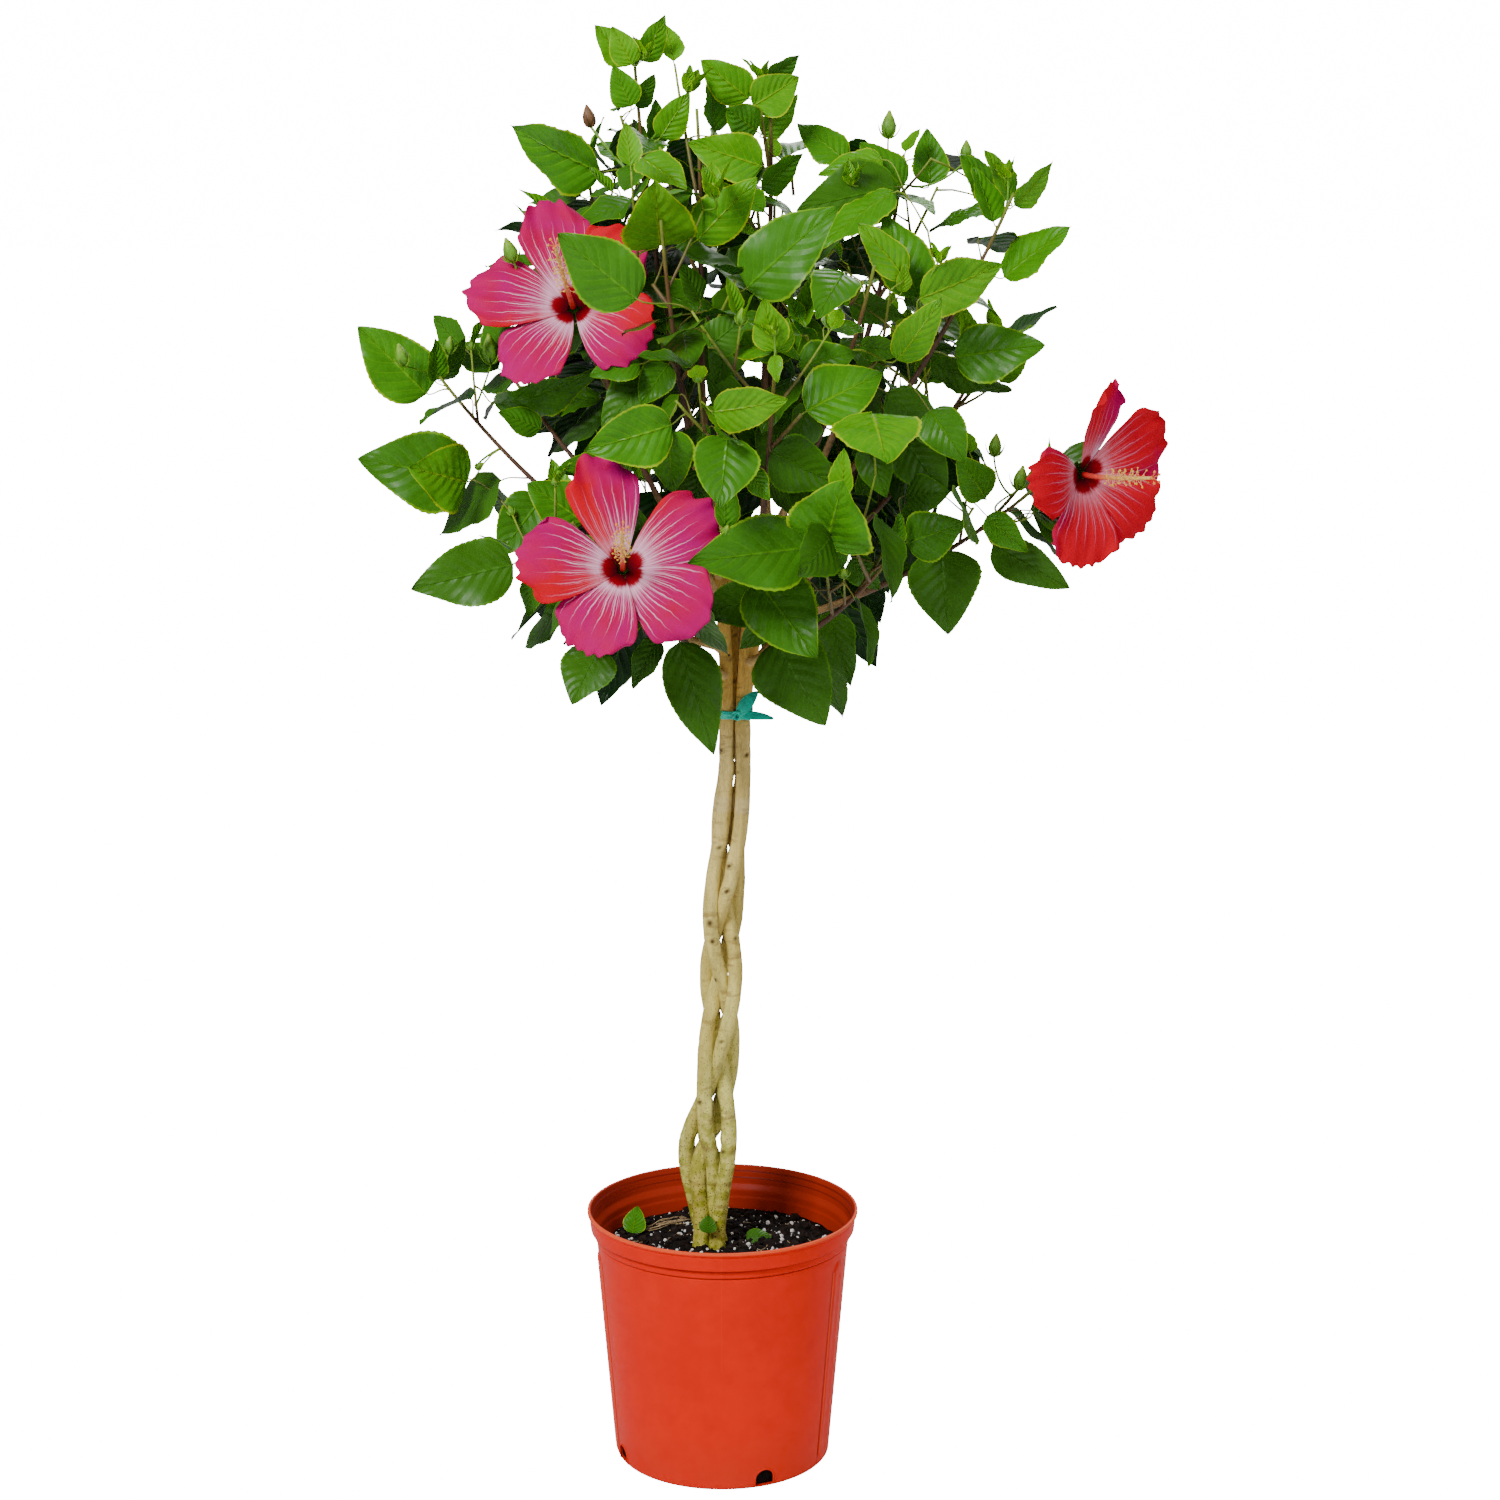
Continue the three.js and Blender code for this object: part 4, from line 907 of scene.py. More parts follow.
def blade_points(leaves, rows=ROW_PLACE, columns=COLUMN_PLACE, toothed=True, crinkle=0.0):
    """The blades of many leaves at once. s runs along the blade and w across it. The point is base + s length
    along the blade + w times the outline to the side; it is lifted by the fold times its distance from the
    midrib, drops by the curl times s squared, ripples towards the margin, where every other row stands out as
    a tooth, and puffs up between its side veins by the crinkle."""
    s = rows[:, None] + 0 * columns
    w = columns[None, :] + 0 * s
    outline = blade_outline(s)
    if toothed:
        tooth = np.where(np.arange(len(rows)) % 2, 0.6, -0.2)[:, None] / len(rows) * (s > 0.16) * (s < 0.97)
        outline = outline * (1 + tooth * (np.abs(w) > 0.99))
    fields = {key: np.array([leaf[key] for leaf in leaves])[..., None, None] for key in
              ("length", "half", "fold", "curl", "phase")}
    sway = 0.05 * np.sin(7 * s + 2 * fields["phase"] + np.sign(w)) * w**2
    side = fields["half"] * fields["length"] * outline * w * (1 + sway)
    ripple = 0.022 * fields["length"] * w**2
    ripple = ripple * np.sin(2 * math.pi * 2.2 * s + fields["phase"] + 1.3 * np.sign(w))
    arch = -0.06 * fields["length"] * outline * w**2
    puff = crinkle * fields["length"] * outline * np.abs(np.cos(math.pi * VEINS * (s - VEIN_SLANT * np.abs(w))))
    lift = np.abs(side) * np.tan(fields["fold"]) - fields["curl"] * fields["length"] * s**2 + ripple + arch + puff
    base, blade, normal = (np.array([leaf[key] for leaf in leaves])[:, None, None, :] for key in
                           ("base", "blade", "normal"))
    left = np.cross(normal, blade)
    ahead = (s * fields["length"])[..., None] * blade
    return base + ahead + side[..., None] * left + lift[..., None] * normal


def new_leaf(node, stalk, base, blade, normal, length, half, fold, curl, phase, youth_and_light):
    """A leaf by its named values: the normal is made square to the blade, the fold is given in degrees, and
    curl, half-width and length are as in blade_points."""
    return {"node": node, "stalk": stalk, "base": base, "blade": blade, "normal": squared(normal, blade),
            "length": length, "half": half, "fold": math.radians(fold), "curl": curl, "phase": phase,
            "youth_and_light": youth_and_light}


def rolled(normal, blade, degrees):
    """A normal turned round its blade."""
    return around(normal, np.cross(blade, normal), math.radians(degrees))


def leaf_at(node, stalk, length, base, draw, share):
    """A leaf's blade: it hangs where it is low and near the trunk, lies flatter high up and far out, and
    rises at the tip of its shoot; its face turns outwards from the middle of the crown."""
    outward = np.array([base[0] - CROWN_X, base[1], 0])
    reach = float(np.linalg.norm(outward))
    pull = 0.75 * min(1, reach / 140)
    outward = outward / max(reach, 1e-6)
    pitch = -80 + 0.11 * (base[2] - 780) + 0.13 * reach + 75 * share**4 + 36 * (draw() - 0.5)
    face = unit([stalk[0], stalk[1], 0]) + outward * pull
    blade = heading(math.atan2(face[1], face[0]), math.radians(max(-80, min(60, pitch))))
    radial = unit([base[0] - CROWN_X, base[1], base[2] - CROWN_HEIGHT])
    normal = rolled(squared(UP * 0.5 + radial, blade), blade, 76 * (draw() - 0.5))
    # The tone is age along the shoot and also painted light and shade: brighter higher up and farther out, darker
    # behind the middle
    light = min(1, max(0, (base[2] - 790) / 460))
    youth_and_light = 0.40 * light - 0.03 + 0.32 * share**2 + 0.12 * min(1, reach / 280) + 0.24 * (draw() - 0.5)
    youth_and_light = youth_and_light - 0.12 * (base[1] > 30)
    return new_leaf(node, stalk, base, blade, normal, length, LEAF_HALF_WIDTH * (0.92 + 0.2 * draw()),
                    8 + 20 * draw(), 0.06 + 0.16 * draw(), 6.28 * draw(), youth_and_light)


def leaves_on(limb, clearing):
    """A spiral of nodes that crowd towards the tip, where leaves are small and rise; a leaf that finds no room
    is tried again with other draws."""
    count = round(limb.length * (1 - limb.bare) / INTERNODE)
    leaves = []
    for k in range(count):
        share = (k + 0.5) / count
        t = limb.bare + (1 - limb.bare) * (1 - (1 - share) ** 1.25)
        node = limb.at(t)[0]
        tangent = limb.way(t)
        for attempt in range(TRIES):
            draw = draws_from(limb.order, limb.number, k + 100 * attempt)
            turn = math.radians(GOLDEN_TURN * k + 70 * limb.number + (40 + 90 * attempt) * draw())
            lift = math.radians(62 - 30 * share**2)
            stalk = around(tangent, around(*square_to(tangent), turn), lift)
            length = LEAF_LENGTH * limb.size * (1 - 0.42 * share**3)
            length = length * (0.84 + 0.32 * draw()) * (1 - 0.08 * attempt)
            base = node + stalk * length * (PETIOLE - 0.26 * share**2)
            leaf = leaf_at(node, stalk, length, base, draw, share)
            if clearing.takes(leaf):
                leaves.append(leaf)
                limb.used = max(limb.used, t)
                break
    return leaves


CHECK_ROWS = np.array([0.04, 0.3, 0.65, 1.0])
CHECK_COLUMNS = np.array([-1.0, 0.0, 1.0])
CHECK_FACES = grid_faces(4, 3).tolist()


def seen(points):
    """Where the lines of sight from the front through the points meet the plane through the pot's middle."""
    away = np.asarray(points, float) - VIEW
    return VIEW[[0, 2]] + away[..., [0, 2]] * (-VIEW[1] / away[..., 1:2])


def covers(flat, rounds):
    """Which of the seen points lie in which of the rounds, given as x, z and radius."""
    return np.linalg.norm(flat[:, None] - rounds[None, :, :2], axis=2) < rounds[:, 2]


class Clearing:
    """Keeps blades apart: a leaf is taken only where its coarse blade crosses no limb, flower or other leaf,
    and stays inside the solids' box. A grown leaf also keeps out of the open sky, and doesn't stand in front
    of a flower's face or of a leaf that stands out."""

    def __init__(self, guard, blooms):
        self.guard, self.blooms = guard, blooms
        self.low, self.high = (np.array(corner) / MM for corner in cad_box)
        self.trees, self.centres = [], []
        self.sky = np.array(GAPS, float)
        self.noted = np.zeros((0, 4))

    def shows(self, points):
        """Whether points keep clear of the open sky and of what stands out."""
        flat = seen(points)
        before = points[:, None, 1] < self.noted[:, 3] + NEARER
        return not (covers(flat, self.sky).any() or (covers(flat, self.noted) & before).any())

    def note(self, middle, reach):
        """Keeps the view of what stands out: where it is seen, how far round, and its depth."""
        self.noted = np.vstack([self.noted, [*seen(middle), reach, middle[1]]])

    def before_bloom(self, points):
        """Whether any point lies in the open space before and just behind a flower's face."""
        for bloom in self.blooms:
            away = points - bloom["centre"]
            ahead = away @ bloom["axis"]
            level = np.linalg.norm(away - ahead[:, None] * bloom["axis"], axis=1)
            if ((ahead > -25) & (ahead < 110) & (level < bloom["radius"] * 0.95)).any():
                return True
        return False

    def takes(self, leaf, in_front=False):
        """Whether a leaf finds room; if so, it is kept for the next ones."""
        points = blade_points([leaf], CHECK_ROWS, CHECK_COLUMNS, toothed=False)[0].reshape(-1, 3)
        if (points < self.low).any() or (points > self.high).any():
            return False
        if not in_front and (not self.shows(points) or self.before_bloom(points)):
            return False
        tree = BVHTree.FromPolygons(points.tolist(), CHECK_FACES)
        if tree.overlap(self.guard):
            return False
        middle = points.mean(0)
        if self.centres:
            near = np.linalg.norm(np.array(self.centres) - middle, axis=1) < NEIGHBOUR
            if any(tree.overlap(self.trees[i]) for i in np.nonzero(near)[0]):
                return False
        self.trees.append(tree)
        self.centres.append(middle)
        return True


# Flowers


def bloom_frame(row):
    """A flower's middle, the way it faces and two ways across that, its radius and its turn."""
    _, _, _, bearing, reach, height, faces, rise, radius, turn = row
    axis = heading(math.radians(faces), math.radians(rise))
    across, over = square_to(axis)
    return {"centre": crown_point(bearing, reach, height), "axis": axis, "across": across, "over": over,
            "radius": float(radius), "turn": turn, "row": row}


def petal_points(bloom, index, rows, columns, seed):
    """One petal: s runs from the eye out and w from side to side. Its reach is the radius times s, less at
    the corners, with small notches; its half-width grows with s to the power 0.85 and draws in at the rim; it
    rises out of the throat by (1 - s) squared, falls back at the rim by s to the fourth, leans over its
    neighbour, and ruffles towards the rim."""
    draw = np.random.default_rng(seed + index)
    aside, longer, wider, flop, _ = PETAL_ROWS[bloom["row"][0]][index]
    s = np.linspace(0.02, 1, rows)[:, None]
    w = np.linspace(-1, 1, columns)[None, :]
    radius = bloom["radius"]
    notch = 0.05 * waves(w * 3.6, s * 0, seed + 11 * index, 5) * s**3
    notch = notch + 0.012 * np.sin(11 * w + index) * s**6
    reach = PETAL_ROOT + (radius * longer - PETAL_ROOT) * s * (1 - 0.24 * np.abs(w) ** 2.4 * s**3 + notch - 0.01)
    wide = w * PETAL_HALF_WIDTH * wider * radius * s**0.85 * (1 - 0.5 * s**2.2)
    wide = wide * (1 + 0.05 * waves(s * 2.4, np.sign(w) * 0.3, seed + 5 * index, 4) * s)
    height = -PETAL_THROAT * (1 - s) ** 2 + 7 * s * w - (5 + flop) * s**4
    ruffle = 4.2 * s**4 * np.sin(3.4 * math.pi * w + draw.uniform(0, 6)) * np.abs(w)
    flute = 2.2 * w**4 * s**2 * np.sin(5 * math.pi * s + draw.uniform(0, 6))
    ribs = 0.55 * s * (1 - s**3) * np.cos(7 * math.pi * w) * (1 - w**2)
    height = height + ruffle + flute + ribs + 3.0 * s**2 * waves(w * 1.6, s * 1.6, seed + 7 * index)
    turn = math.radians(bloom["turn"] + aside + index * 360 / PETALS)
    outward = around(bloom["across"], bloom["over"], turn)
    sideways = np.cross(bloom["axis"], outward)
    points = bloom["centre"] + reach[..., None] * outward + wide[..., None] * sideways
    points = points + height[..., None] * bloom["axis"]
    uv = np.stack(np.broadcast_arrays(0.5 + 0.5 * w, s), -1)
    return points, uv


def column_line(bloom, count):
    """The column's line: from the throat along the axis, its end curving a little upwards."""
    back = bloom["centre"] - bloom["axis"] * 20
    end = bloom["centre"] + bloom["axis"] * COLUMN_LENGTH + UP * COLUMN_LENGTH * 0.16
    return curve([back, bloom["centre"] + bloom["axis"] * 8, end], np.linspace(0, 1, count))


def grow_column(bloom, parts, seed):
    """The staminal column with its filaments and anthers on the outer part, and five stigmas at its end."""
    dice = np.random.default_rng(seed)
    line = column_line(bloom, 26)
    t = np.linspace(0, 1, 26)
    parts["flower_columns"].add(*tube(line, 2.5 - 1.1 * t, 12), age=np.repeat(t, 12))
    ways = directions(line)
    for k in range(FILAMENTS):
        at = 0.46 + 0.46 * (k + 0.5) / FILAMENTS
        i = int(at * 25)
        side = around(*square_to(ways[i]), math.radians(GOLDEN_TURN * k))
        way = unit(side + ways[i] * (0.2 + 0.5 * dice.random()))
        length = 6.0 + 3.5 * dice.random()
        tip = line[i] + way * length + UP * 0.8
        thread = tube([line[i], line[i] + way * length * 0.5, tip], [0.28, 0.24, 0.2], 4)
        parts["filaments"].add(*thread, age=at)
        size = np.array([0.95, 0.95, 0.75]) * dice.uniform(0.8, 1.15)
        parts["anthers"].add(*ball(tip, size, rows=5, columns=6))
    bend = line[-1] + ways[-1] * 3
    for k in range(PETALS):
        side = around(*square_to(ways[-1]), math.radians(72 * k + 20))
        tip = bend + unit(ways[-1] * 0.6 + side) * 6
        style = curve([line[-1] - ways[-1], bend, tip], np.linspace(0, 1, 5))
        parts["stigmas"].add(*tube(style, 0.45, 6))
        parts["stigmas"].add(*ball(tip, 1.35 * np.ones(3), rows=6, columns=8))


def grow_calyx(bloom, limb, green, seed):
    """The flower's stalk, its green cup with five pointed lobes that lie on the petals, and narrow bracts."""
    axis = bloom["axis"]
    back = bloom["centre"] - axis * CALYX_DEPTH
    root = limb.at(bloom["row"][2])[0]
    span = np.linalg.norm(back - root)
    bend = root + limb.way(bloom["row"][2]) * span * 0.4
    stalk = curve([root, bend, back - axis * span * 0.3, back], np.linspace(0, 1, 16))
    green.add(*tube(stalk, np.linspace(1.5, 2.2, 16), 10), age=0.55)
    rows, columns = 15, 40
    s = np.linspace(0, 1, rows)[:, None]
    turn = full_turn(columns)[None, :]
    lobe = 0.5 + 0.5 * np.cos(PETALS * (turn - math.radians(bloom["turn"]) - math.pi / PETALS))
    ahead = 14 * s + 6.5 * lobe * s**2
    radius = 2.2 + 7.0 * np.sin(math.pi * 0.5 * np.minimum(1, s * 1.3)) + 8.0 * s**3 * lobe
    ring = np.cos(turn)[..., None] * bloom["across"] + np.sin(turn)[..., None] * bloom["over"]
    shell = back + ahead[..., None] * axis + radius[..., None] * ring
    inner = shell - ring * 0.7 + axis * 0.2
    points = np.concatenate([shell.reshape(-1, 3), inner[::-1].reshape(-1, 3)])
    green.add(points, grid_faces(2 * rows, columns, round_rows=True), age=0.35)
    for k in range(BRACTS):
        side = around(bloom["across"], bloom["over"], math.radians(360 * k / BRACTS + seed))
        line = curve([back, back + side * 7 + axis * 2, back + side * 9 + axis * 15], np.linspace(0, 1, 6))
        green.add(*tube(line, [1.0, 1.2, 1.1, 0.9, 0.6, 0.2], 5), age=0.5)


# Buds and shoot tips


def grow_bud(green, neck, way, long, seed, dry=False, bracts=8):
    """A pointed, five-ribbed bud drawn out to a tip, in a whorl of thin, spreading bracts."""
    dice = np.random.default_rng(seed)
    way = unit(way)
    wide = long * 0.19 + 1.4
    t = np.linspace(0, 1, 11)
    profile = wide * np.sin(math.pi * np.minimum(0.97, t**0.7)) ** 0.8 + 0.12
    turn = full_turn(15)
    relief = 0.14 * np.cos(5 * turn)[None, :] * np.ones((11, 1))
    tone = 0.04 + 0.08 * np.repeat(t, 15) if dry else 0.42 + 0.4 * np.repeat(t, 15)
    green.add(*tube(neck + way * (t[:, None] * long), profile, 15, relief), age=tone)
    for k in range(bracts):
        side = around(*square_to(way), math.radians(360 * k / bracts + 30 * dice.random()))
        reach = long * dice.uniform(0.6, 0.85)
        tip = neck + side * reach * (0.35 if dry else 0.62) + way * reach * 0.75
        bend = neck + side * (reach * 0.4 + 1) + way * reach * 0.05
        line = curve([neck, bend, tip], np.linspace(0, 1, 6))
        green.add(*tube(line, [0.6, 0.75, 0.75, 0.6, 0.35, 0.12], 5), age=0.08 if dry else 0.7)


def noted_bud(row, index, node, green):
    """A single bud on its stalk; a tuft gives back its young leaflets."""
    start, base, point = (np.array(row[i:i + 3], float) for i in (0, 3, 6))
    line = curve([node, node + (start - node) * 0.6 + UP * 4, start * 0.5 + base * 0.5, base],
                 np.linspace(0, 1, 12))
    thick = 0.8 + 0.35 * (row[9] == DRY) + 0.002 * np.linalg.norm(base - node)
    green.add(*tube(line, np.linspace(thick + 0.3, thick, 12), 7), age=np.repeat(np.linspace(0.5, 0.72, 12), 7))
    way, long = unit(point - base), float(np.linalg.norm(point - base))
    if row[9] != TUFT:
        grow_bud(green, base, way, long, 300 + index, dry=row[9] == DRY)
        return []
    leaflets = []
    for k in range(4):
        draw = draws_from(index, k, 5)
        side = around(*square_to(way), math.radians(90 * k + 60 * draw()))
        blade = unit(way + side * (0.3 + 0.6 * draw()))
        leaflets.append(new_leaf(base, blade, base + side * 1.2, blade, way - side * 1.3,
                                 long * (1.0 + 0.6 * draw()), LEAFLET_HALF_WIDTH, 20 + 14 * draw(),
                                 -0.02 + 0.12 * draw(), 6.28 * draw(), 0.92 + 0.2 * draw()))
    grow_bud(green, base, way, long * 0.55, 400 + index, bracts=4)
    return leaflets


def noted_leaf(row, nodes):
    """A leaf that stands out, and the number of the nearest node, which it hangs on: its face is turned to the
    viewer and rolled by its own angle."""
    draw = draws_from(int(row[0]) + 900, int(row[2]), 3)
    base, point = np.array(row[:3], float), np.array(row[3:6], float)
    length = float(np.linalg.norm(point - base))
    blade = (point - base) / length
    normal = rolled(squared(np.array([0, -0.98, 0.2]), blade), blade, row[6] + 26 * (draw() - 0.5))
    away = np.linalg.norm(nodes - base + blade * 10, axis=1) + 0.3 * np.maximum(0, base[1] - nodes[:, 1])
    owner = int(np.argmin(away))
    stalk = unit(unit(base - nodes[owner]) + UP * 0.35)
    leaf = new_leaf(nodes[owner], stalk, base, blade, normal, length, row[7] * 1.05, 6 + 20 * draw(),
                    0.02 + 0.12 * draw(), 6.28 * draw(), row[8])
    return leaf, owner


def tip_leaves(limb, clearing):
    """The youngest leaves: two or three small ones that rise round the end of the shoot."""
    leaves = []
    end, way = limb.at(1.0)[0], limb.way(1.0)
    for k in range(2 if end[2] > 1120 and end[1] < 40 else 3):
        draw = draws_from(limb.order, limb.number, 60 + k)
        side = around(*square_to(way), math.radians(120 * k + 90 * draw()))
        stalk = unit(way + side * 0.8)
        length = 26 + 22 * draw()
        base = end + stalk * (3 + 5 * draw())
        blade = unit(way * 0.9 + side * (0.35 + 0.5 * draw()) + UP * 0.5)
        # Painted shade as well as age: tip leaves on lower shoots are darker
        leaf = new_leaf(end, stalk, base, blade, unit(way - side * 1.2), length, LEAFLET_HALF_WIDTH,
                        24 + 16 * draw(), -0.05 + 0.2 * draw(), 6.28 * draw(),
                        0.8 + 0.3 * draw() - 0.45 * (end[2] < 900))
        if clearing.takes(leaf):
            leaves.append(leaf)
            limb.used = 1.0
    return leaves


def petiole(leaf):
    """The leaf's stalk: a thin tube that leaves the twig along the stalk's way and bends into the blade."""
    node, base = leaf["node"], leaf["base"]
    span = np.linalg.norm(base - node)
    line = curve([node, node + leaf["stalk"] * span * 0.5, base - leaf["blade"] * min(14, span * 0.3),
                  base + leaf["blade"] * leaf["length"] * 0.03], np.linspace(0, 1, 7))
    thick = 0.75 + leaf["length"] / 300 + 0.006 * max(0, span - 30)
    return tube(line, np.array([1.1, 0.85, 0.72, 0.66, 0.66, 0.72, 0.5]) * thick, 5)


# The pot


def rounded(profile, radius, steps=4):
    """The profile with each inner corner replaced by a short parabola that starts and ends at the radius."""
    profile = np.array(profile, float)
    points = [profile[0]]
    for before, corner, after in zip(profile, profile[1:], profile[2:]):
        start, end = (corner + unit(side - corner) * min(radius, 0.45 * np.linalg.norm(side - corner))
                      for side in (before, after))
        for t in np.linspace(0, 1, steps):
            points.append((1 - t) ** 2 * start + 2 * t * (1 - t) * corner + t**2 * end)
    return np.array([*points, profile[-1]])


def pot_profile():
    """The outer wall from the middle of the base up to the rim, then the inner wall down to the floor, as
    radius and height."""
    low, high = SHOULDER_RADIUS, SHOULDER_RADIUS + 1.2
    lip = RIM_RADIUS - 1.8
    wall = [(BASE_RADIUS + (low - BASE_RADIUS) * t, WALL_FOOT + (SHOULDER_HEIGHT - WALL_FOOT) * t) for t in
            np.linspace(0, 1, 40)]
    outer = [(0, 0), (60, 0), (BASE_RADIUS - 2.5, 0), *wall, (low - 0.7, SHOULDER_HEIGHT + 1.2),
             (high + 0.3, SHOULDER_HEIGHT + 2.6), (high + 0.3, BAND - 1.4), (high - 0.6, BAND),
             (RIM_RADIUS - 3.4, BAND + 0.6), (RIM_RADIUS - 3.0, BAND + 2.6), (lip, POT_HEIGHT - 6),
             (lip - 0.5, POT_HEIGHT - 4.6), (RIM_RADIUS, POT_HEIGHT - 3.4), (RIM_RADIUS, POT_HEIGHT)]
    inner = [(RIM_RADIUS - 3.2, POT_HEIGHT), (RIM_RADIUS - 3.9, POT_HEIGHT - 5),
             (RIM_RADIUS - 5.4, POT_HEIGHT - 6), (RIM_RADIUS - 5.6, POT_HEIGHT - 11),
             (RIM_RADIUS - 6.6, POT_HEIGHT - 12), (RIM_RADIUS - 6.8, BAND + 2),
             (low - WALL + 1.2, BAND - 2), (low - WALL + 0.2, BAND - 4),
             (low - WALL, SHOULDER_HEIGHT), (low - WALL - 0.9, SHOULDER_HEIGHT - 2),
             (BASE_RADIUS - WALL, FLOOR + 2.5), (BASE_RADIUS - WALL - 2.5, FLOOR), (60, FLOOR), (0, FLOOR)]
    return rounded(outer + inner, 0.9)


def step(x, low, high):
    """0 below low, 1 above high, and a smooth rise between."""
    t = np.clip((x - low) / (high - low), 0, 1)
    return t * t * (3 - 2 * t)


def strip_relief(bearing, height, radius):
    """The raised vertical strips on the wall: 1.3 mm between two soft edges, with round ends, and a narrow
    groove down their middle."""
    relief = np.zeros(np.broadcast(bearing, height).shape)
    for middle in (STRIPS_RIGHT - STRIP_APART, STRIPS_RIGHT + STRIP_APART,
                   STRIP_APART - STRIPS_LEFT, -STRIP_APART - STRIPS_LEFT):
        off = np.abs((bearing - middle + 180) % 360 - 180) * math.pi / 180 * radius
        end = np.maximum(0, np.maximum(height - (SHOULDER_HEIGHT - 18), 16 - height))
        away = np.hypot(off, end)
        relief = relief + 1.3 * (1 - step(away, 8.6, 10.4)) - 0.5 * (1 - step(away, 2.6, 4.6)) * (end < 1)
    return relief


def drain_outline():
    """A drain's arch, as the distance aside and the height."""
    half = DRAIN_WIDTH / 2
    arch = [(half * math.cos(a), DRAIN_SILL + DRAIN_HEIGHT - half + half * math.sin(a)) for a in
            np.linspace(0, math.pi, 17)]
    return np.array([(half, DRAIN_SILL), *arch, (-half, DRAIN_SILL)])


def drain_ways():
    """The way out and the way aside at each drain."""
    turns = [math.radians(DRAIN_FIRST - 90 + 360 / DRAINS * k) for k in range(DRAINS)]
    ways = [heading(turn, 0) for turn in turns]
    return [(out, np.cross(UP, out)) for out in ways]


def cut_drains(pot, outline, material):
    """Takes prisms of the outline, which reach through the wall, away from the pot."""
    cutters = Heap()
    count = len(outline)
    i = np.arange(count)
    j = (i + 1) % count
    faces = [np.stack([i, j, count + j, count + i], -1), np.array([i[::-1], count + i])]
    for out, side in drain_ways():
        flat = outline[:, :1] * side + outline[:, 1:] * UP
        cutters.add(np.concatenate([flat + out * CUT_FROM, flat + out * CUT_TO]), faces)
    cutter = cutters.piece("drain_cutters", material, smooth=False)
    cut = pot.modifiers.new("drains", "BOOLEAN")
    cut.operation, cut.solver, cut.object = "DIFFERENCE", "EXACT", cutter
    depsgraph = bpy.context.evaluated_depsgraph_get()
    shaped = bpy.data.meshes.new_from_object(pot.evaluated_get(depsgraph))
    pot.modifiers.clear()
    pot.data = shaped
    bpy.data.objects.remove(cutter)


def make_pot(material):
    """A lathed wall, twice shaped: strips stand out of it, and four arched drains are cut at its foot, each
    with a thin rim."""
    profile = pot_profile()
    bearing = np.arange(POT_COLUMNS) * 360 / POT_COLUMNS
    radius = profile[:, :1] + 0 * bearing
    height = profile[:, 1:] + 0 * bearing
    outer = np.arange(len(profile))[:, None] < np.argmax(profile[:, 1]) + 1
    on_wall = outer & (height > 6) & (height < SHOULDER_HEIGHT - 2)
    radius = radius + strip_relief(bearing[None, :] + 0 * height, height, radius) * on_wall
    angle = np.radians(bearing - 90)[None, :]
    points = np.stack([radius * np.cos(angle), radius * np.sin(angle), height], -1)
    heap = Heap()
    heap.add(*closed(points[1:-1], points[0, 0], points[-1, 0]))
    outline = drain_outline()
    cut_drains(heap.piece("pot_shell", material, "terracotta", ["pot"]), outline, material)
    rims = Heap()
    wide, high = outline[:, :1], outline[:, 1:]
    radius = np.sqrt((BASE_RADIUS + WALL_SLOPE * high) ** 2 - wide**2) - 0.1
    for out, side in drain_ways():
        line = radius * out + wide * side + high * UP
        rims.add(*tube(line, 0.75, 8, frame_of=lambda tangent: (unit(np.cross(tangent, out)), 0 * tangent + out)))
    rims.piece("drain_rims", material, "terracotta")


# The potting mix


def soil_height(x, y):
    """Level in the middle, lower at the wall, and lumpy."""
    away = np.hypot(x, y)
    base = SOIL_TOP - 0.4 + (SOIL_EDGE - SOIL_TOP) * np.clip((away - 45) / 70, 0, 1) ** 1.3
    return base + 1.3 * waves(x / 21, y / 21, 5, 9) + 0.8 * waves(x / 7.5, y / 7.5, 8, 9)


def on_soil(x, y, lift=0.0):
    """Points at a lift above the mix."""
    return np.stack([x, y, soil_height(x, y) + lift], -1)


def wall_inside(height):
    """The inner radius of the pot at a height."""
    return BASE_RADIUS - WALL + WALL_SLOPE * (height - WALL_FOOT)


SOIL_REACH = wall_inside(SOIL_EDGE) - 0.3
CHIPS, GRAINS, FIBRES, STRAWS = 1500, 600, 46, 12
# Fallen leaves: x, y and height of the base over the mix, bearing, rise, length, half-width, and tone by age
# and painted light as for the other leaves
LITTER = [(-86, 30, 3, 70, 62, 27, 0.42, 0.62), (-14, -28, 20, 80, 70, 17, 0.5, 0.3),
          (22, 8, 3.5, 4, 4, 25, 0.36, 0.16)]


def fallen_leaf(x, y, z, bearing, lean, length, half, youth_and_light):
    """A leaf that lies on the mix, with its face up and to the front."""
    base = np.array([x, y, float(soil_height(x, y)) + z])
    blade = heading(math.radians(bearing), math.radians(lean))
    return new_leaf(base, UP, base, blade, np.array([0, -0.7, 0.7]), length, half, 5.73, 0.15, 1.0, youth_and_light)


def make_soil(materials):
    """The mix's surface is a disc of rings, and under it a plain body fills the pot."""
    share = np.linspace(0, 1, 46)[1:, None]
    turn = full_turn(150)[None, :]
    top = on_soil(SOIL_REACH * share * np.cos(turn), SOIL_REACH * share * np.sin(turn))
    low = [(wall_inside(FLOOR + 3.4) - 0.3, FLOOR + 3.4), (BASE_RADIUS - WALL - 3.4, FLOOR + 0.3)]
    sides = [np.stack([r * np.cos(turn), r * np.sin(turn), z + 0 * turn], -1) for r, z in low]
    middle = [[0, 0, float(soil_height(0.0, 0.0))], [0, 0, FLOOR + 0.3]]
    points, faces = closed(np.concatenate([top, *sides]), *middle)
    heap = Heap()
    heap.add(points, [part[:, ::-1] for part in faces])
    heap.piece("mix_body", materials["soil"], "potting_mix", ["potting_mix"])


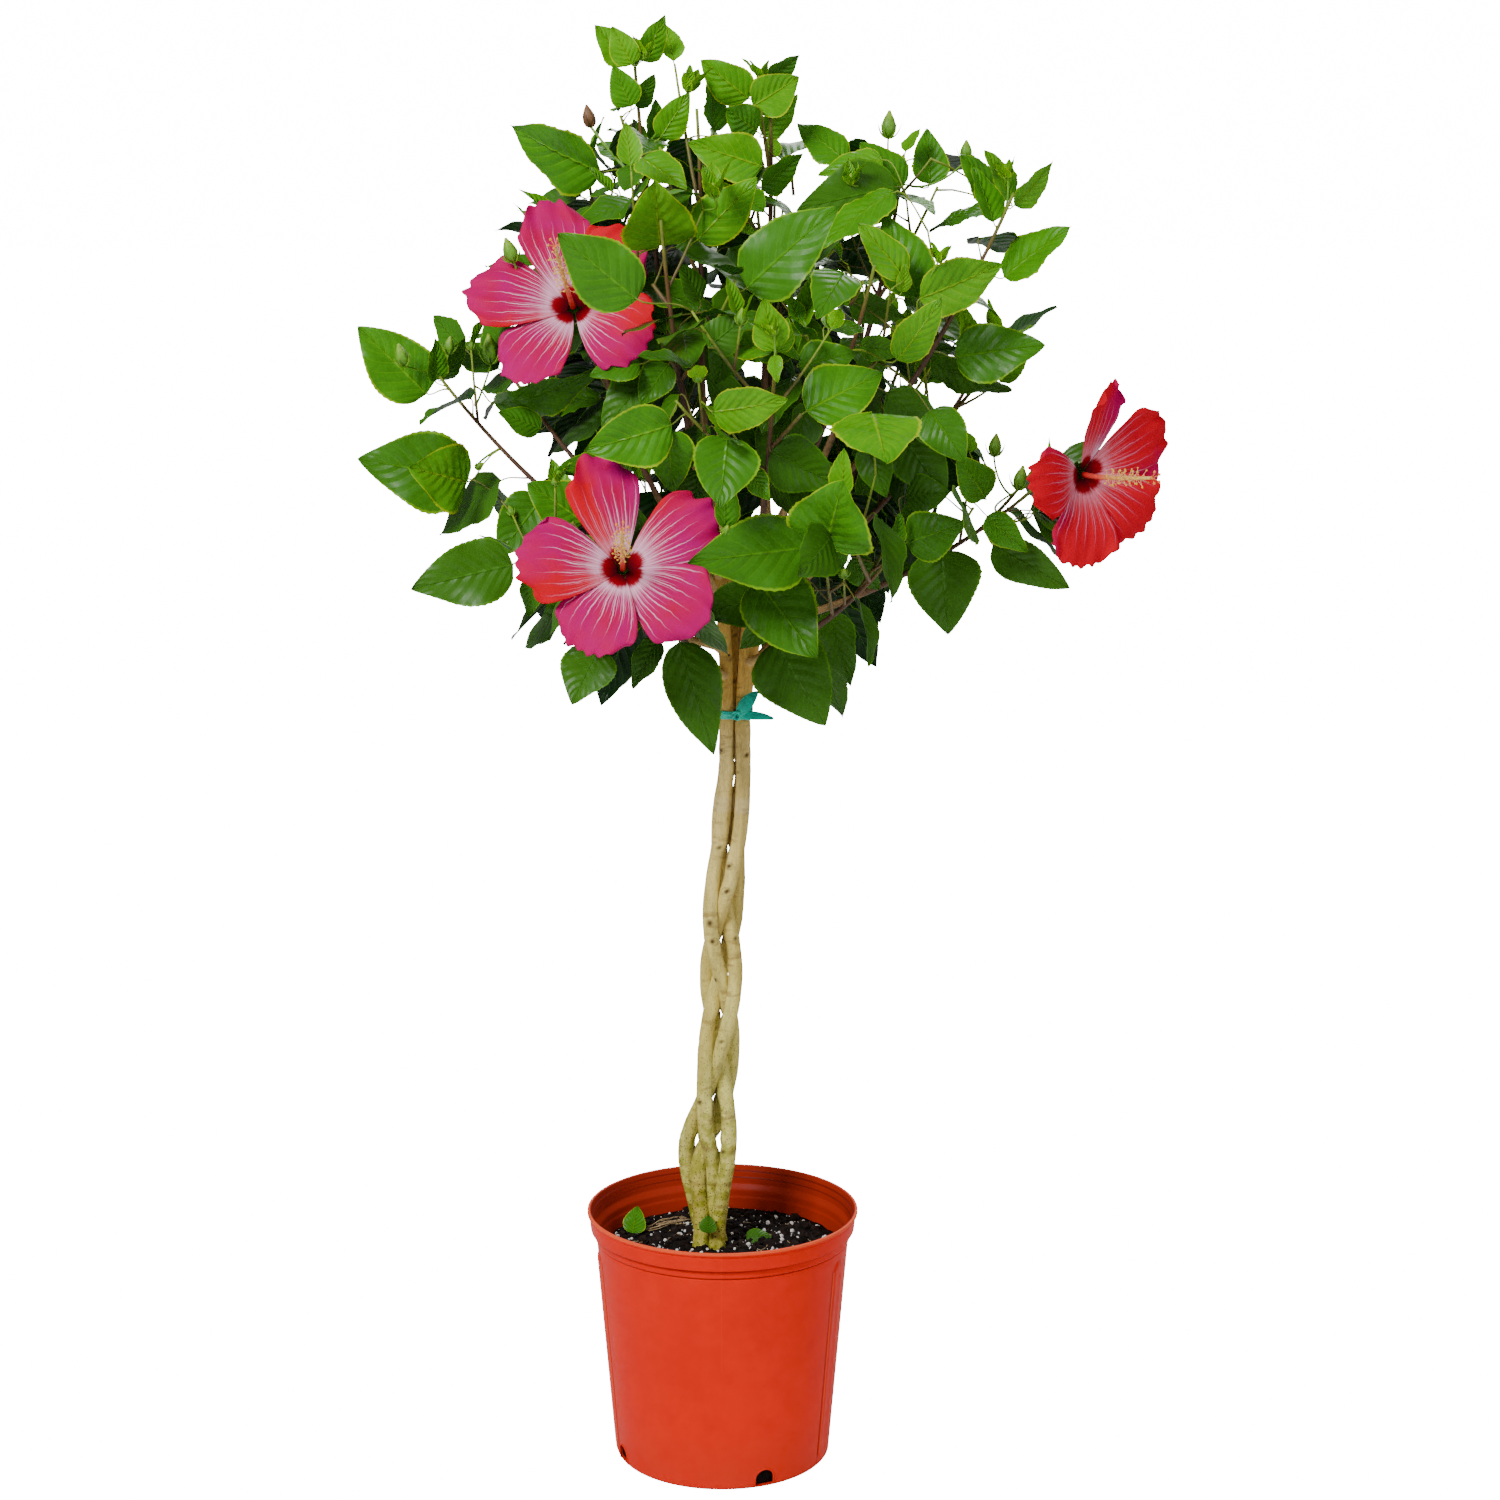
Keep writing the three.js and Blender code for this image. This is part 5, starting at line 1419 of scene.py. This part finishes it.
def strew_soil(materials):
    """Rough chips, white grains, fibres and a bundle of straw lie on the mix."""
    dice = np.random.default_rng(21)
    chips, grains, fibres = Heap(), Heap(), Heap()

    def spot(margin):
        while True:
            x, y = dice.uniform(-SOIL_REACH, SOIL_REACH, 2)
            if math.hypot(x, y) < SOIL_REACH - margin:
                return on_soil(x, y)

    def rough(points, share):
        return points * (1 + share * dice.uniform(-1, 1, (len(points), 1)))

    for _ in range(CHIPS):
        size = 1.0 + 4.6 * dice.random() ** 2
        turn = unit(dice.normal(size=3))
        shape = np.array([1.0, 0.55 + 0.4 * dice.random(), 0.3 + 0.3 * dice.random()]) * size
        points, faces = ball(np.zeros(3), shape, [turn, *square_to(turn)], rows=5, columns=5)
        points = rough(points, 0.25)
        chips.add(points + spot(5) + UP * size * 0.15, faces, age=dice.random())
    for _ in range(GRAINS):
        size = 0.5 + 2.0 * dice.random() ** 2.5
        points, faces = ball(np.zeros(3), size * np.ones(3), rows=5, columns=6)
        points = rough(points, 0.2)
        grains.add(points + spot(3) + UP * size * 0.35, faces)
    for _ in range(FIBRES):
        start = spot(24)
        bearing = dice.uniform(0, 2 * math.pi)
        length = dice.uniform(8, 20)
        bend = dice.uniform(-0.9, 0.9)
        t = np.linspace(0, 1, 7)
        line = on_soil(start[0] + length * t * np.cos(bearing + bend * t),
                       start[1] + length * t * np.sin(bearing + bend * t), 0.6)
        fibres.add(*tube(line, dice.uniform(0.25, 0.6), 5), age=dice.random())
    for k in range(STRAWS):
        t = np.linspace(0, 1, 12)
        x = -72 + 38 * t + dice.uniform(-4, 4)
        y = 46 + 22 * t**2 + dice.uniform(-9, 9) + 4 * np.sin(4 * t + k)
        fibres.add(*tube(on_soil(x, y, 1.2 + 5 * np.sin(math.pi * t) * dice.random()), 0.5, 5), age=0.9)
    chips.piece("bark_chips", materials["chips"], "potting_mix", smooth=False)
    grains.piece("white_grains", materials["grains"], "potting_mix")
    fibres.piece("fibres", materials["fibres"], "potting_mix")


# The stems and the tie


CHINK = 7.0
SLITS = ((303, 7, 0.9), (648, 8, 0.7))


def pressed(z, across, radii, side):
    """How far each stem swells to one side, seen from the front, where it presses on the next one: half the
    chink between them where that is narrow and nothing behind covers it, less at the slits that stay open."""
    outer, inner = side * across + radii, side * across - radii
    swell = np.zeros(across.shape)
    for stem in range(len(across)):
        covered = ((inner <= outer[stem]) & (outer > outer[stem] + 0.01)).any(0)
        chink = np.where(inner > outer[stem], inner - outer[stem], 99.0).min(0)
        swell[stem] = np.where(covered | (chink > CHINK), 0.0, chink / 2 + 0.7)
        swell[stem] = np.convolve(np.pad(swell[stem], 3, mode="edge"), np.ones(7) / 7, mode="valid")
    for level, half, share in SLITS:
        swell = swell * (1 - share * bell((z - level) / half))
    return swell


def marked(relief, dark, rows, angle, marks):
    """The relief and the dark places with knots on them: a swelling with a slit, and a ring round a large one."""
    for at, side, size in marks:
        turned = ((angle - side + math.pi) % (2 * math.pi)) - math.pi
        relief = relief + bell((rows - at) / (2.6 + 2.8 * size)) * (0.02 + 0.2 * size * bell(turned / 0.8))
        slit = bell((rows - at - 0.7 * turned) / (1.1 + 1.9 * size)) * bell(turned / 0.5)
        relief = relief - 0.26 * size * slit
        ring = bell((np.hypot((rows - at) / 3.2, turned / 0.62) - 1.1 * size) / 0.34)
        ring = (size > 0.75) * 0.6 * ring * (0.5 + 0.5 * np.sin(2 * turned + at))
        dark = np.maximum(dark, np.maximum(slit * min(1, size * 1.1), ring))
    return relief, dark


def level_frame(tangent):
    """To the right and to the front for every point, so that the rings stay level."""
    return np.array([1.0, 0, 0]) + 0 * tangent, np.array([0, -1.0, 0]) + 0 * tangent


def make_stems(material):
    """Each stem is a tube along its line, sunk a little into the mix and swollen where it presses on its
    neighbour, with painted shade in the crease there; its relief is lengthwise ribs, slow swellings, low
    rings, and a knot with a dark slit wherever an old shoot was."""
    z = np.linspace(FOOT - 5, FORK, 470)
    rows = z[:, None]
    angle = full_turn(36)[None, :]
    rightward, leftward = np.maximum(0, np.sin(angle)), np.maximum(0, -np.sin(angle))
    lines = [stem_line(order, np.maximum(z, FOOT)) for order in range(STEMS)]
    thick = along(KNOTS, STEM_RADIUS, np.clip(z, FOOT, FORK)) * np.interp(
        z, [FOOT, 300, 560, 630, 700, 713, 726, 800], [1.06, 1.15, 1.14, 1.2, 1.2, 1.08, 1.16, 1.15])
    thick = thick * (1 + 0.12 * np.maximum(0, 1 - (z - FOOT) / 22) ** 2)
    across = np.array([line[:, 0] for line in lines])
    left, right = (pressed(z, across, thick + 0 * across, side)[:, :, None] for side in (-1, 1))
    for order, line in enumerate(lines):
        dice = np.random.default_rng(31 + order)
        line[:, 2] = z
        ribs = 0.02 * np.sin(6 * angle + 3 * waves(rows / 90, 0 * rows, 40 + order))
        lumps = 0.05 * waves(rows / 30 + np.cos(angle) * 0.4, np.sin(angle) * 0.5, 50 + order)
        relief = ribs + lumps + 0.02 * waves(rows / 5, np.sin(angle) * 1.5 + np.cos(angle), 60 + order, 9)
        relief = relief + right[order] / thick[:, None] * rightward**1.5
        relief = relief + left[order] / thick[:, None] * leftward**1.5
        # Painted shade: the crease where the stem swells against its neighbour is darkened
        crease_shade = np.maximum(right[order] * rightward**9, left[order] * leftward**9)
        marks = [row[1:] for row in SCARS if row[0] == order]
        marks += [(dice.uniform(FOOT + 10, FORK - 15), dice.uniform(0, 2 * math.pi), dice.uniform(0.3, 0.7))
                  for _ in range(SMALL_MARKS)]
        relief, dark = marked(relief, np.minimum(0.75, 1.1 * crease_shade), rows, angle, marks)
        heap = Heap()
        # The age value carries the painted crease shade and the dark knot marks
        heap.add(*tube(line, thick, 36, relief, level_frame), age=dark)
        heap.piece(f"stem_bark_{order + 1}", material, "bark", [f"stem_{order + 1}"])


TIE_HEIGHT = 713.0
TIE_REACH = 8.4
TIE_ROUND = 6.4


def ribbon(line, wide, thick, side):
    """A flat band along a line: an oblong section with half widths wide and thick, wide along the side given
    for each point."""
    ways = directions(line)
    side = squared(side, ways)
    face = np.cross(ways, side)
    corner = np.array([(-1, -0.6), (-0.9, -1), (0.9, -1), (1, -0.6), (1, 0.6), (0.9, 1), (-0.9, 1), (-1, 0.6)])
    wide = np.broadcast_to(wide, (len(line),))[:, None, None]
    points = line[:, None, :] + corner[None, :, :1] * wide * side[:, None, :]
    points = points + corner[None, :, 1:] * thick * face[:, None, :]
    last = (len(line) - 1) * 8
    caps = np.array([np.arange(8), last + np.arange(8)[::-1]])
    return points.reshape(-1, 3), [grid_faces(len(line), 8, round_rows=True)[:, ::-1], caps]


def make_tie(material):
    """Two turns of tape round the four stems, a knot of crossed loops in front, and two tails."""
    middle = np.mean([stem_line(order, np.array([TIE_HEIGHT]))[0] for order in range(STEMS)], axis=0)
    heap = Heap()
    t = np.linspace(0, 2 * math.pi, 73)
    for lift, grow in ((-1.6, 0.55), (1.5, 1.2)):
        x, y = (np.sign(way) * TIE_REACH * np.minimum(1, np.abs(way) * 3) + (TIE_ROUND + grow) * way
                for way in (np.cos(t), np.sin(t)))
        line = middle + np.stack([x, y, lift + 0.9 * np.sin(t + lift)], -1)
        heap.add(*ribbon(line, 2.5 + 0.3 * np.sin(5 * t), 0.32, np.tile(UP, (73, 1))))
    front = middle + np.array([2.0, -TIE_REACH - TIE_ROUND - 2.2, 0])
    u = np.linspace(0, 2 * math.pi, 25)
    for tilt, size in ((0.5, 4.6), (-0.7, 4.2), (1.6, 3.6)):
        loop = np.stack([size * np.cos(u), -1.2 * np.sin(u), size * 0.62 * np.sin(u)], -1)
        turn = np.array([[math.cos(tilt), 0, -math.sin(tilt)], [0, 1, 0], [math.sin(tilt), 0, math.cos(tilt)]])
        heap.add(*tube(front + loop @ turn, 1.25 + 0.2 * np.sin(3 * u), 8))
    s = np.linspace(0, 1, 18)[:, None]
    for rise, lean, length, wide in ((50, -0.12, 29.0, 5.4), (-5, -0.05, 33.0, 3.0)):
        way = np.array([math.cos(math.radians(rise)), lean, math.sin(math.radians(rise))])
        line = front + s * length * way + UP * 1.6 * np.sin(3 * s) + np.array([0, -0.8, 0]) * np.sin(5 * s)
        side = np.array([-way[2], 0.3, way[0]]) + s * np.array([0, 0.4, 0])
        heap.add(*ribbon(line, 1.0 + wide * np.sin(math.pi * s[:, 0] ** 0.8) ** 0.8, 0.3, side))
    heap.piece("tie_tape", material, "tape", ["tie"])


# Growing the crown


def grow_limbs():
    """The main limbs, and the side shoots and spurs on them."""
    limbs = [main_limb(row, order) for order, row in enumerate(SHOOTS)]
    sides = [side for order, row in enumerate(SHOOTS) for side in side_limbs(limbs[order], row, order)]
    return limbs, sides + [spur for limb in limbs + sides for spur in spurs(limb)]


def solid_guard(limbs, twigs, blooms):
    """What no leaf may cross, in one search tree: coarse limbs, twigs, stems and petals."""
    guard = Heap()
    lines = []
    for limb, count, margin in [(limb, 12, 0.6) for limb in limbs] + [(limb, 6, 0.4) for limb in twigs]:
        t = np.linspace(0, 1, count)
        lines.append((limb.at(t), limb.radius(t) + margin))
    z = np.linspace(600, FORK, 12)
    lines += [(stem_line(order, z), 6.0) for order in range(STEMS)]
    for line, radius in lines:
        points, faces = tube(line, radius, 4)
        guard.add(points, faces[0])
    for index, bloom in enumerate(blooms):
        for petal in range(PETALS):
            guard.add(petal_points(bloom, petal, 6, 6, 100 + 10 * index)[0], grid_faces(6, 6))
    return BVHTree.FromPolygons(np.concatenate(guard.points).tolist(), np.concatenate(guard.faces).tolist())


def hang_noted(clearing, nodes, owners):
    """The leaves that stand out; one that finds no room is moved a little forwards or back."""
    noted = []
    for row in NOTED:
        leaf, owner = noted_leaf(row, nodes)
        for shift in (0, 10, -10, 20, -20, 32, -32):
            leaf["base"] = np.array(row[:3], float) + np.array([0, shift, 0])
            if clearing.takes(leaf, in_front=True):
                blade = leaf["blade"] * leaf["length"]
                ends = seen([leaf["base"], leaf["base"] + blade])
                clearing.note(leaf["base"] + blade * 0.45, 8 + 0.2 * np.linalg.norm(ends[1] - ends[0]))
                noted.append(leaf)
                limb, t = owners[owner]
                limb.used = max(limb.used, t)
                break
    return noted


def hang_buds(clearing, nodes, owners, buds):
    """The single buds on the nearest node of a limb, and their tufts of leaflets."""
    tufts = []
    for index, row in enumerate(BUDS):
        owner = int(np.argmin(np.linalg.norm(nodes - np.array(row[:3], float), axis=1)))
        limb, t = owners[owner]
        limb.used = max(limb.used, t)
        tufts += noted_bud(row, index, nodes[owner], buds)
        clearing.note((np.array(row[3:6], float) + np.array(row[6:9], float)) / 2, 14)
    return tufts


def grow_leaves(clearing, limbs, twigs, buds):
    """The leaves that grow by the rule, and a small bud at the end of some shoots."""
    leaves = []
    for limb in twigs[::-1] + limbs:
        leaves += leaves_on(limb, clearing)
    for limb in limbs + twigs:
        leaves += tip_leaves(limb, clearing)
        draw = draws_from(limb.order, limb.number, 80)
        end, way = limb.at(1.0)[0], limb.way(1.0)
        if draw() < 0.3 and limb.used == 1 and clearing.shows(end[None] + way * 12):
            grow_bud(buds, end - way, way, 9 + 6 * draw(), limb.order * 50 + limb.number)
    return leaves


def bough_bark(limbs):
    """Tubes along the main limbs, wider where they leave the stem."""
    bark = Heap()
    t = np.linspace(0, 1, 60)
    angle = full_turn(12)[None, :]
    for limb in limbs:
        collar = 1 + 0.3 * bell(t / 0.035)
        relief = 0.07 * waves(t[:, None] * limb.length / 26 + 0 * angle, np.cos(angle) * 0.5, 70 + limb.order, 8)
        bark.add(*tube(limb.at(t), limb.radius(t) * collar, 12, relief), age=np.repeat(t, 12))
    return bark


def twigs_and_stalks(twigs, leaves):
    """Twigs as far as they carry anything, and the stalks of the leaves."""
    shoots = Heap()
    for limb in twigs:
        if limb.used:
            t = np.linspace(0, min(1, limb.used + 0.02), 10)
            shoots.add(*tube(limb.at(t), limb.radius(t), 7), age=np.repeat(0.5 + 0.4 * t, 7))
    for leaf in leaves:
        # The stalk's tone follows its leaf's, age and painted light together
        shoots.add(*petiole(leaf), age=0.62 + 0.3 * leaf["youth_and_light"])
    return shoots


def make_leaves(plain, fine, materials, foliage):
    """One piece for each tone; the leaves that stand out, and the fallen ones, have finer and puffed blades."""
    for name, (_, start, end, *_) in LEAF_TONES.items():
        heap = Heap()
        for group, rows, columns, crinkle in ((plain, ROW_PLACE, COLUMN_PLACE, 0.0),
                                              (fine, FINE_ROWS, FINE_COLUMNS, PUFF)):
            chosen = [leaf for leaf in group if start <= max(0.0, leaf["youth_and_light"]) < end]
            template = grid_faces(len(rows), len(columns))
            s, w = np.meshgrid(rows, columns, indexing="ij")
            uv = np.stack([0.5 + 0.5 * w, s], -1)
            for leaf, points in zip(chosen, blade_points(chosen, rows, columns, crinkle=crinkle) if chosen else []):
                share = (leaf["youth_and_light"] - start) / (min(end, 1.1) - start)
                heap.add(points, template, uv, age=min(1, max(0, share)))
        heap.piece(name, materials[name], "leaf", foliage)


def grow_crown(materials):
    """Limbs first, then the leaves and buds that stand out, the grown leaves round them, and the flowers."""
    limbs, twigs = grow_limbs()
    blooms = [bloom_frame(row) for row in BLOOMS]
    names = [row[0] for row in SHOOTS]
    foliage = [f"foliage_{name}" for name in names]
    clearing = Clearing(solid_guard(limbs, twigs, blooms), blooms)
    stops = np.linspace(0.05, 1, 24)
    nodes = np.concatenate([limb.at(stops) for limb in limbs + twigs])
    owners = [(limb, t) for limb in limbs + twigs for t in stops]
    buds = Heap()
    noted = hang_noted(clearing, nodes, owners)
    tufts = hang_buds(clearing, nodes, owners, buds)
    leaves = grow_leaves(clearing, limbs, twigs, buds)
    bough_bark(limbs).piece("boughs", materials["bough"], "bough", [f"bough_{name}" for name in names])
    twigs_and_stalks(twigs, leaves + noted).piece("twigs", materials["twig"], "bough", foliage)
    buds.piece("buds", materials["green"], "leaf")
    make_leaves(leaves + tufts, noted + [fallen_leaf(*row) for row in LITTER], materials, foliage)
    grow_flowers(blooms, {name: limb for name, limb in zip(names, limbs)}, materials)


# The pieces that all flowers share, each with its material and slot
FLOWER_PARTS = [("flower_columns", "column", "petal"), ("filaments", "filament", "petal"),
                ("anthers", "anther", "petal"), ("stigmas", "stigma", "petal"), ("calyces", "green", "leaf")]


def grow_flowers(blooms, limbs, materials):
    """Each flower's petals are a piece of their own; the other parts are joined from flower to flower."""
    parts = {name: Heap() for name, _, _ in FLOWER_PARTS}
    rows, columns = 44, 40
    for index, bloom in enumerate(blooms):
        petals = Heap()
        name = bloom["row"][0]
        for petal in range(PETALS):
            points, uv = petal_points(bloom, petal, rows, columns, 100 + 10 * index)
            petals.add(points, grid_faces(rows, columns), uv, age=PETAL_ROWS[name][petal][4])
        piece = petals.piece(name.replace("bloom", "petals"), materials["petal"], "petal", [name])
        shell = piece.modifiers.new("thickness", "SOLIDIFY")
        shell.thickness, shell.offset = 0.0005, 0.0
        grow_column(bloom, parts, 7 + index)
        grow_calyx(bloom, limbs[bloom["row"][1]], parts["calyces"], 20 * index)
    for name, material, slot in FLOWER_PARTS:
        parts[name].piece(name, materials[material], slot)


# Name, tones low and high, scale of the mottle, relief in metres, roughness, and gloss where it isn't 0.5
MOTTLED = {
    "soil": ("potting_mix", (0.0015, 0.0012, 0.001), (0.009, 0.007, 0.006), 300.0, 0.0016, 0.9, 0.1),
    "chips": ("bark_chip", (0.0015, 0.0012, 0.001), (0.022, 0.012, 0.009), 90.0, 0.0006, 0.85, 0.15),
    "grains": ("perlite", (0.62, 0.6, 0.55), (0.95, 0.93, 0.9), 500.0, 0.0004, 0.8),
    "fibres": ("fibre", (0.2, 0.12, 0.05), (0.55, 0.4, 0.2), 200.0, 0.0002, 0.8),
    "tape": ("tie_tape", (0.0, 0.42, 0.3), (0.0, 0.72, 0.5), 90.0, 0.0003, 0.45),
    "filament": ("filament", (0.9, 0.4, 0.16), (0.98, 0.74, 0.42), 300.0, 0.0001, 0.5),
    "anther": ("anther", (0.85, 0.4, 0.02), (0.95, 0.68, 0.08), 900.0, 0.0002, 0.7),
    "stigma": ("stigma", (0.85, 0.14, 0.03), (0.95, 0.4, 0.1), 900.0, 0.0002, 0.7),
}
# Name, colours from age 0 to 1, scale of the mottle, relief, roughness, and gloss where it isn't 0.5
AGED = {
    "bough": ("bough_bark", [(0.0, (0.72, 0.46, 0.14)), (0.22, (0.5, 0.3, 0.1)), (0.42, (0.16, 0.07, 0.03)),
                             (0.6, (0.09, 0.035, 0.018)), (0.86, (0.16, 0.075, 0.015)),
                             (1.0, (0.22, 0.32, 0.02))], 160.0, 0.0005, 0.62),
    "twig": ("twig", [(0.5, (0.16, 0.07, 0.025)), (0.7, (0.16, 0.16, 0.015)), (0.85, (0.26, 0.4, 0.02)),
                      (1.0, (0.36, 0.56, 0.02))], 200.0, 0.0002, 0.5),
    "green": ("bud_green", [(0.0, (0.16, 0.06, 0.025)), (0.14, (0.3, 0.14, 0.05)), (0.3, (0.06, 0.2, 0.01)),
                            (0.65, (0.16, 0.42, 0.015)), (0.9, (0.42, 0.64, 0.02))], 260.0, 0.0002, 0.5),
    "column": ("flower_column", [(0.0, (0.5, 0.0, 0.01)), (0.34, (0.85, 0.1, 0.06)), (0.5, (0.95, 0.44, 0.12)),
                                 (1.0, (0.98, 0.66, 0.16))], 300.0, 0.0001, 0.5, 0.2),
}
# Name, the value of age and painted light that it starts and ends at, and the tones of the blade, low and
# high, of the ribs and of the edge
LEAF_TONES = {
    "leaves_deep": ("leaf_deep", 0.0, 0.36, (0.0015, 0.017, 0.003), (0.01, 0.055, 0.003), (0.04, 0.17, 0.01),
                    (0.09, 0.26, 0.004)),
    "leaves_mid": ("leaf_mid", 0.36, 0.56, (0.003, 0.045, 0.002), (0.018, 0.15, 0.001), (0.12, 0.36, 0.003),
                   (0.34, 0.58, 0.001)),
    "leaves_bright": ("leaf_bright", 0.56, 0.78, (0.008, 0.12, 0.0), (0.062, 0.34, 0.0), (0.26, 0.58, 0.002),
                      (0.62, 0.8, 0.0)),
    "leaves_young_and_lit": ("leaf_young", 0.78, 9.0, (0.035, 0.29, 0.0), (0.2, 0.56, 0.0), (0.5, 0.76, 0.002),
                     (0.8, 0.88, 0.0)),
}


def all_materials():
    """Every finish by the name that the pieces ask for."""
    finishes = {"pot": pot_finish(), "stem": stem_finish(), "petal": petal_finish()}
    finishes |= {key: mottled_finish(*row) for key, row in MOTTLED.items()}
    finishes |= {key: aged_finish(*row) for key, row in AGED.items()}
    return finishes | {key: leaf_finish(name, *tones) for key, (name, _, _, *tones) in LEAF_TONES.items()}


# Camera, floor and lights

LENS = 75.996
CAMERA_TILT = 78.844
BACKDROP = 16.0
SKYLIGHT = 0.3
AIM = np.array([0.0, 0.0, 0.85])
LIGHTS = (("key", (-1.6, -2.6, 2.9), 1.1, 140.0), ("fill", (2.6, -1.8, 1.6), 2.0, 20.0),
          ("rim", (0.6, 2.4, 2.8), 1.6, 60.0))


def place_camera():
    """A camera at the height of the upper crown, tilted down, as the photograph shows the plant."""
    data = bpy.data.cameras.new("camera")
    data.lens, data.sensor_width = LENS, 36
    data.clip_start, data.clip_end = 0.05, 50
    camera = new_object("camera", data)
    camera.location = VIEW * MM
    camera.rotation_euler = (math.radians(CAMERA_TILT), 0, 0)
    bpy.context.scene.camera = camera


def place_floor():
    """A wide, nearly white floor; the camera alone sees it as bright as the sky, so that no edge shows."""
    mesh = bpy.data.meshes.new("floor")
    mesh.from_pydata([(-30, -30, 0), (30, -30, 0), (30, 30, 0), (-30, 30, 0)], [], [(0, 1, 2, 3)])
    floor = new_object("floor", mesh)
    finish = Finish("pale_floor", roughness=0.9, specular=0.1)
    finish.shader.inputs["Base Color"].default_value = grey(0.8)
    finish.shader.inputs["Emission Strength"].default_value = BACKDROP
    finish.feed("Emission Color", finish.read("ShaderNodeLightPath", "Is Camera Ray"))
    mesh.materials.append(finish.material)


def place_lights():
    """A soft light from the upper left, a weaker one from the right, one from behind, and a white sky that
    looks brighter to the camera than it lights the plant."""
    for name, spot, size, power in LIGHTS:
        data = bpy.data.lights.new(name, "AREA")
        data.size, data.energy = size, power
        light = new_object(name, data)
        light.location = spot
        x, y, z = AIM - spot
        light.rotation_euler = (math.atan2(math.hypot(x, y), -z), 0, math.atan2(y, x) - math.pi / 2)
    world = bpy.data.worlds.new("sky")
    world.use_nodes = True
    tree = world.node_tree
    sees = Value(add_node(tree, "ShaderNodeLightPath").outputs["Is Camera Ray"])
    strength = sees * (BACKDROP - SKYLIGHT) + SKYLIGHT
    background = tree.nodes["Background"]
    background.inputs[0].default_value = grey(1)
    tree.links.new(strength.socket, background.inputs[1])
    bpy.context.scene.world = world


place_camera()
place_floor()
place_lights()
finishes = all_materials()
make_pot(finishes["pot"])
make_soil(finishes)
strew_soil(finishes)
make_stems(finishes["stem"])
make_tie(finishes["tape"])
grow_crown(finishes)
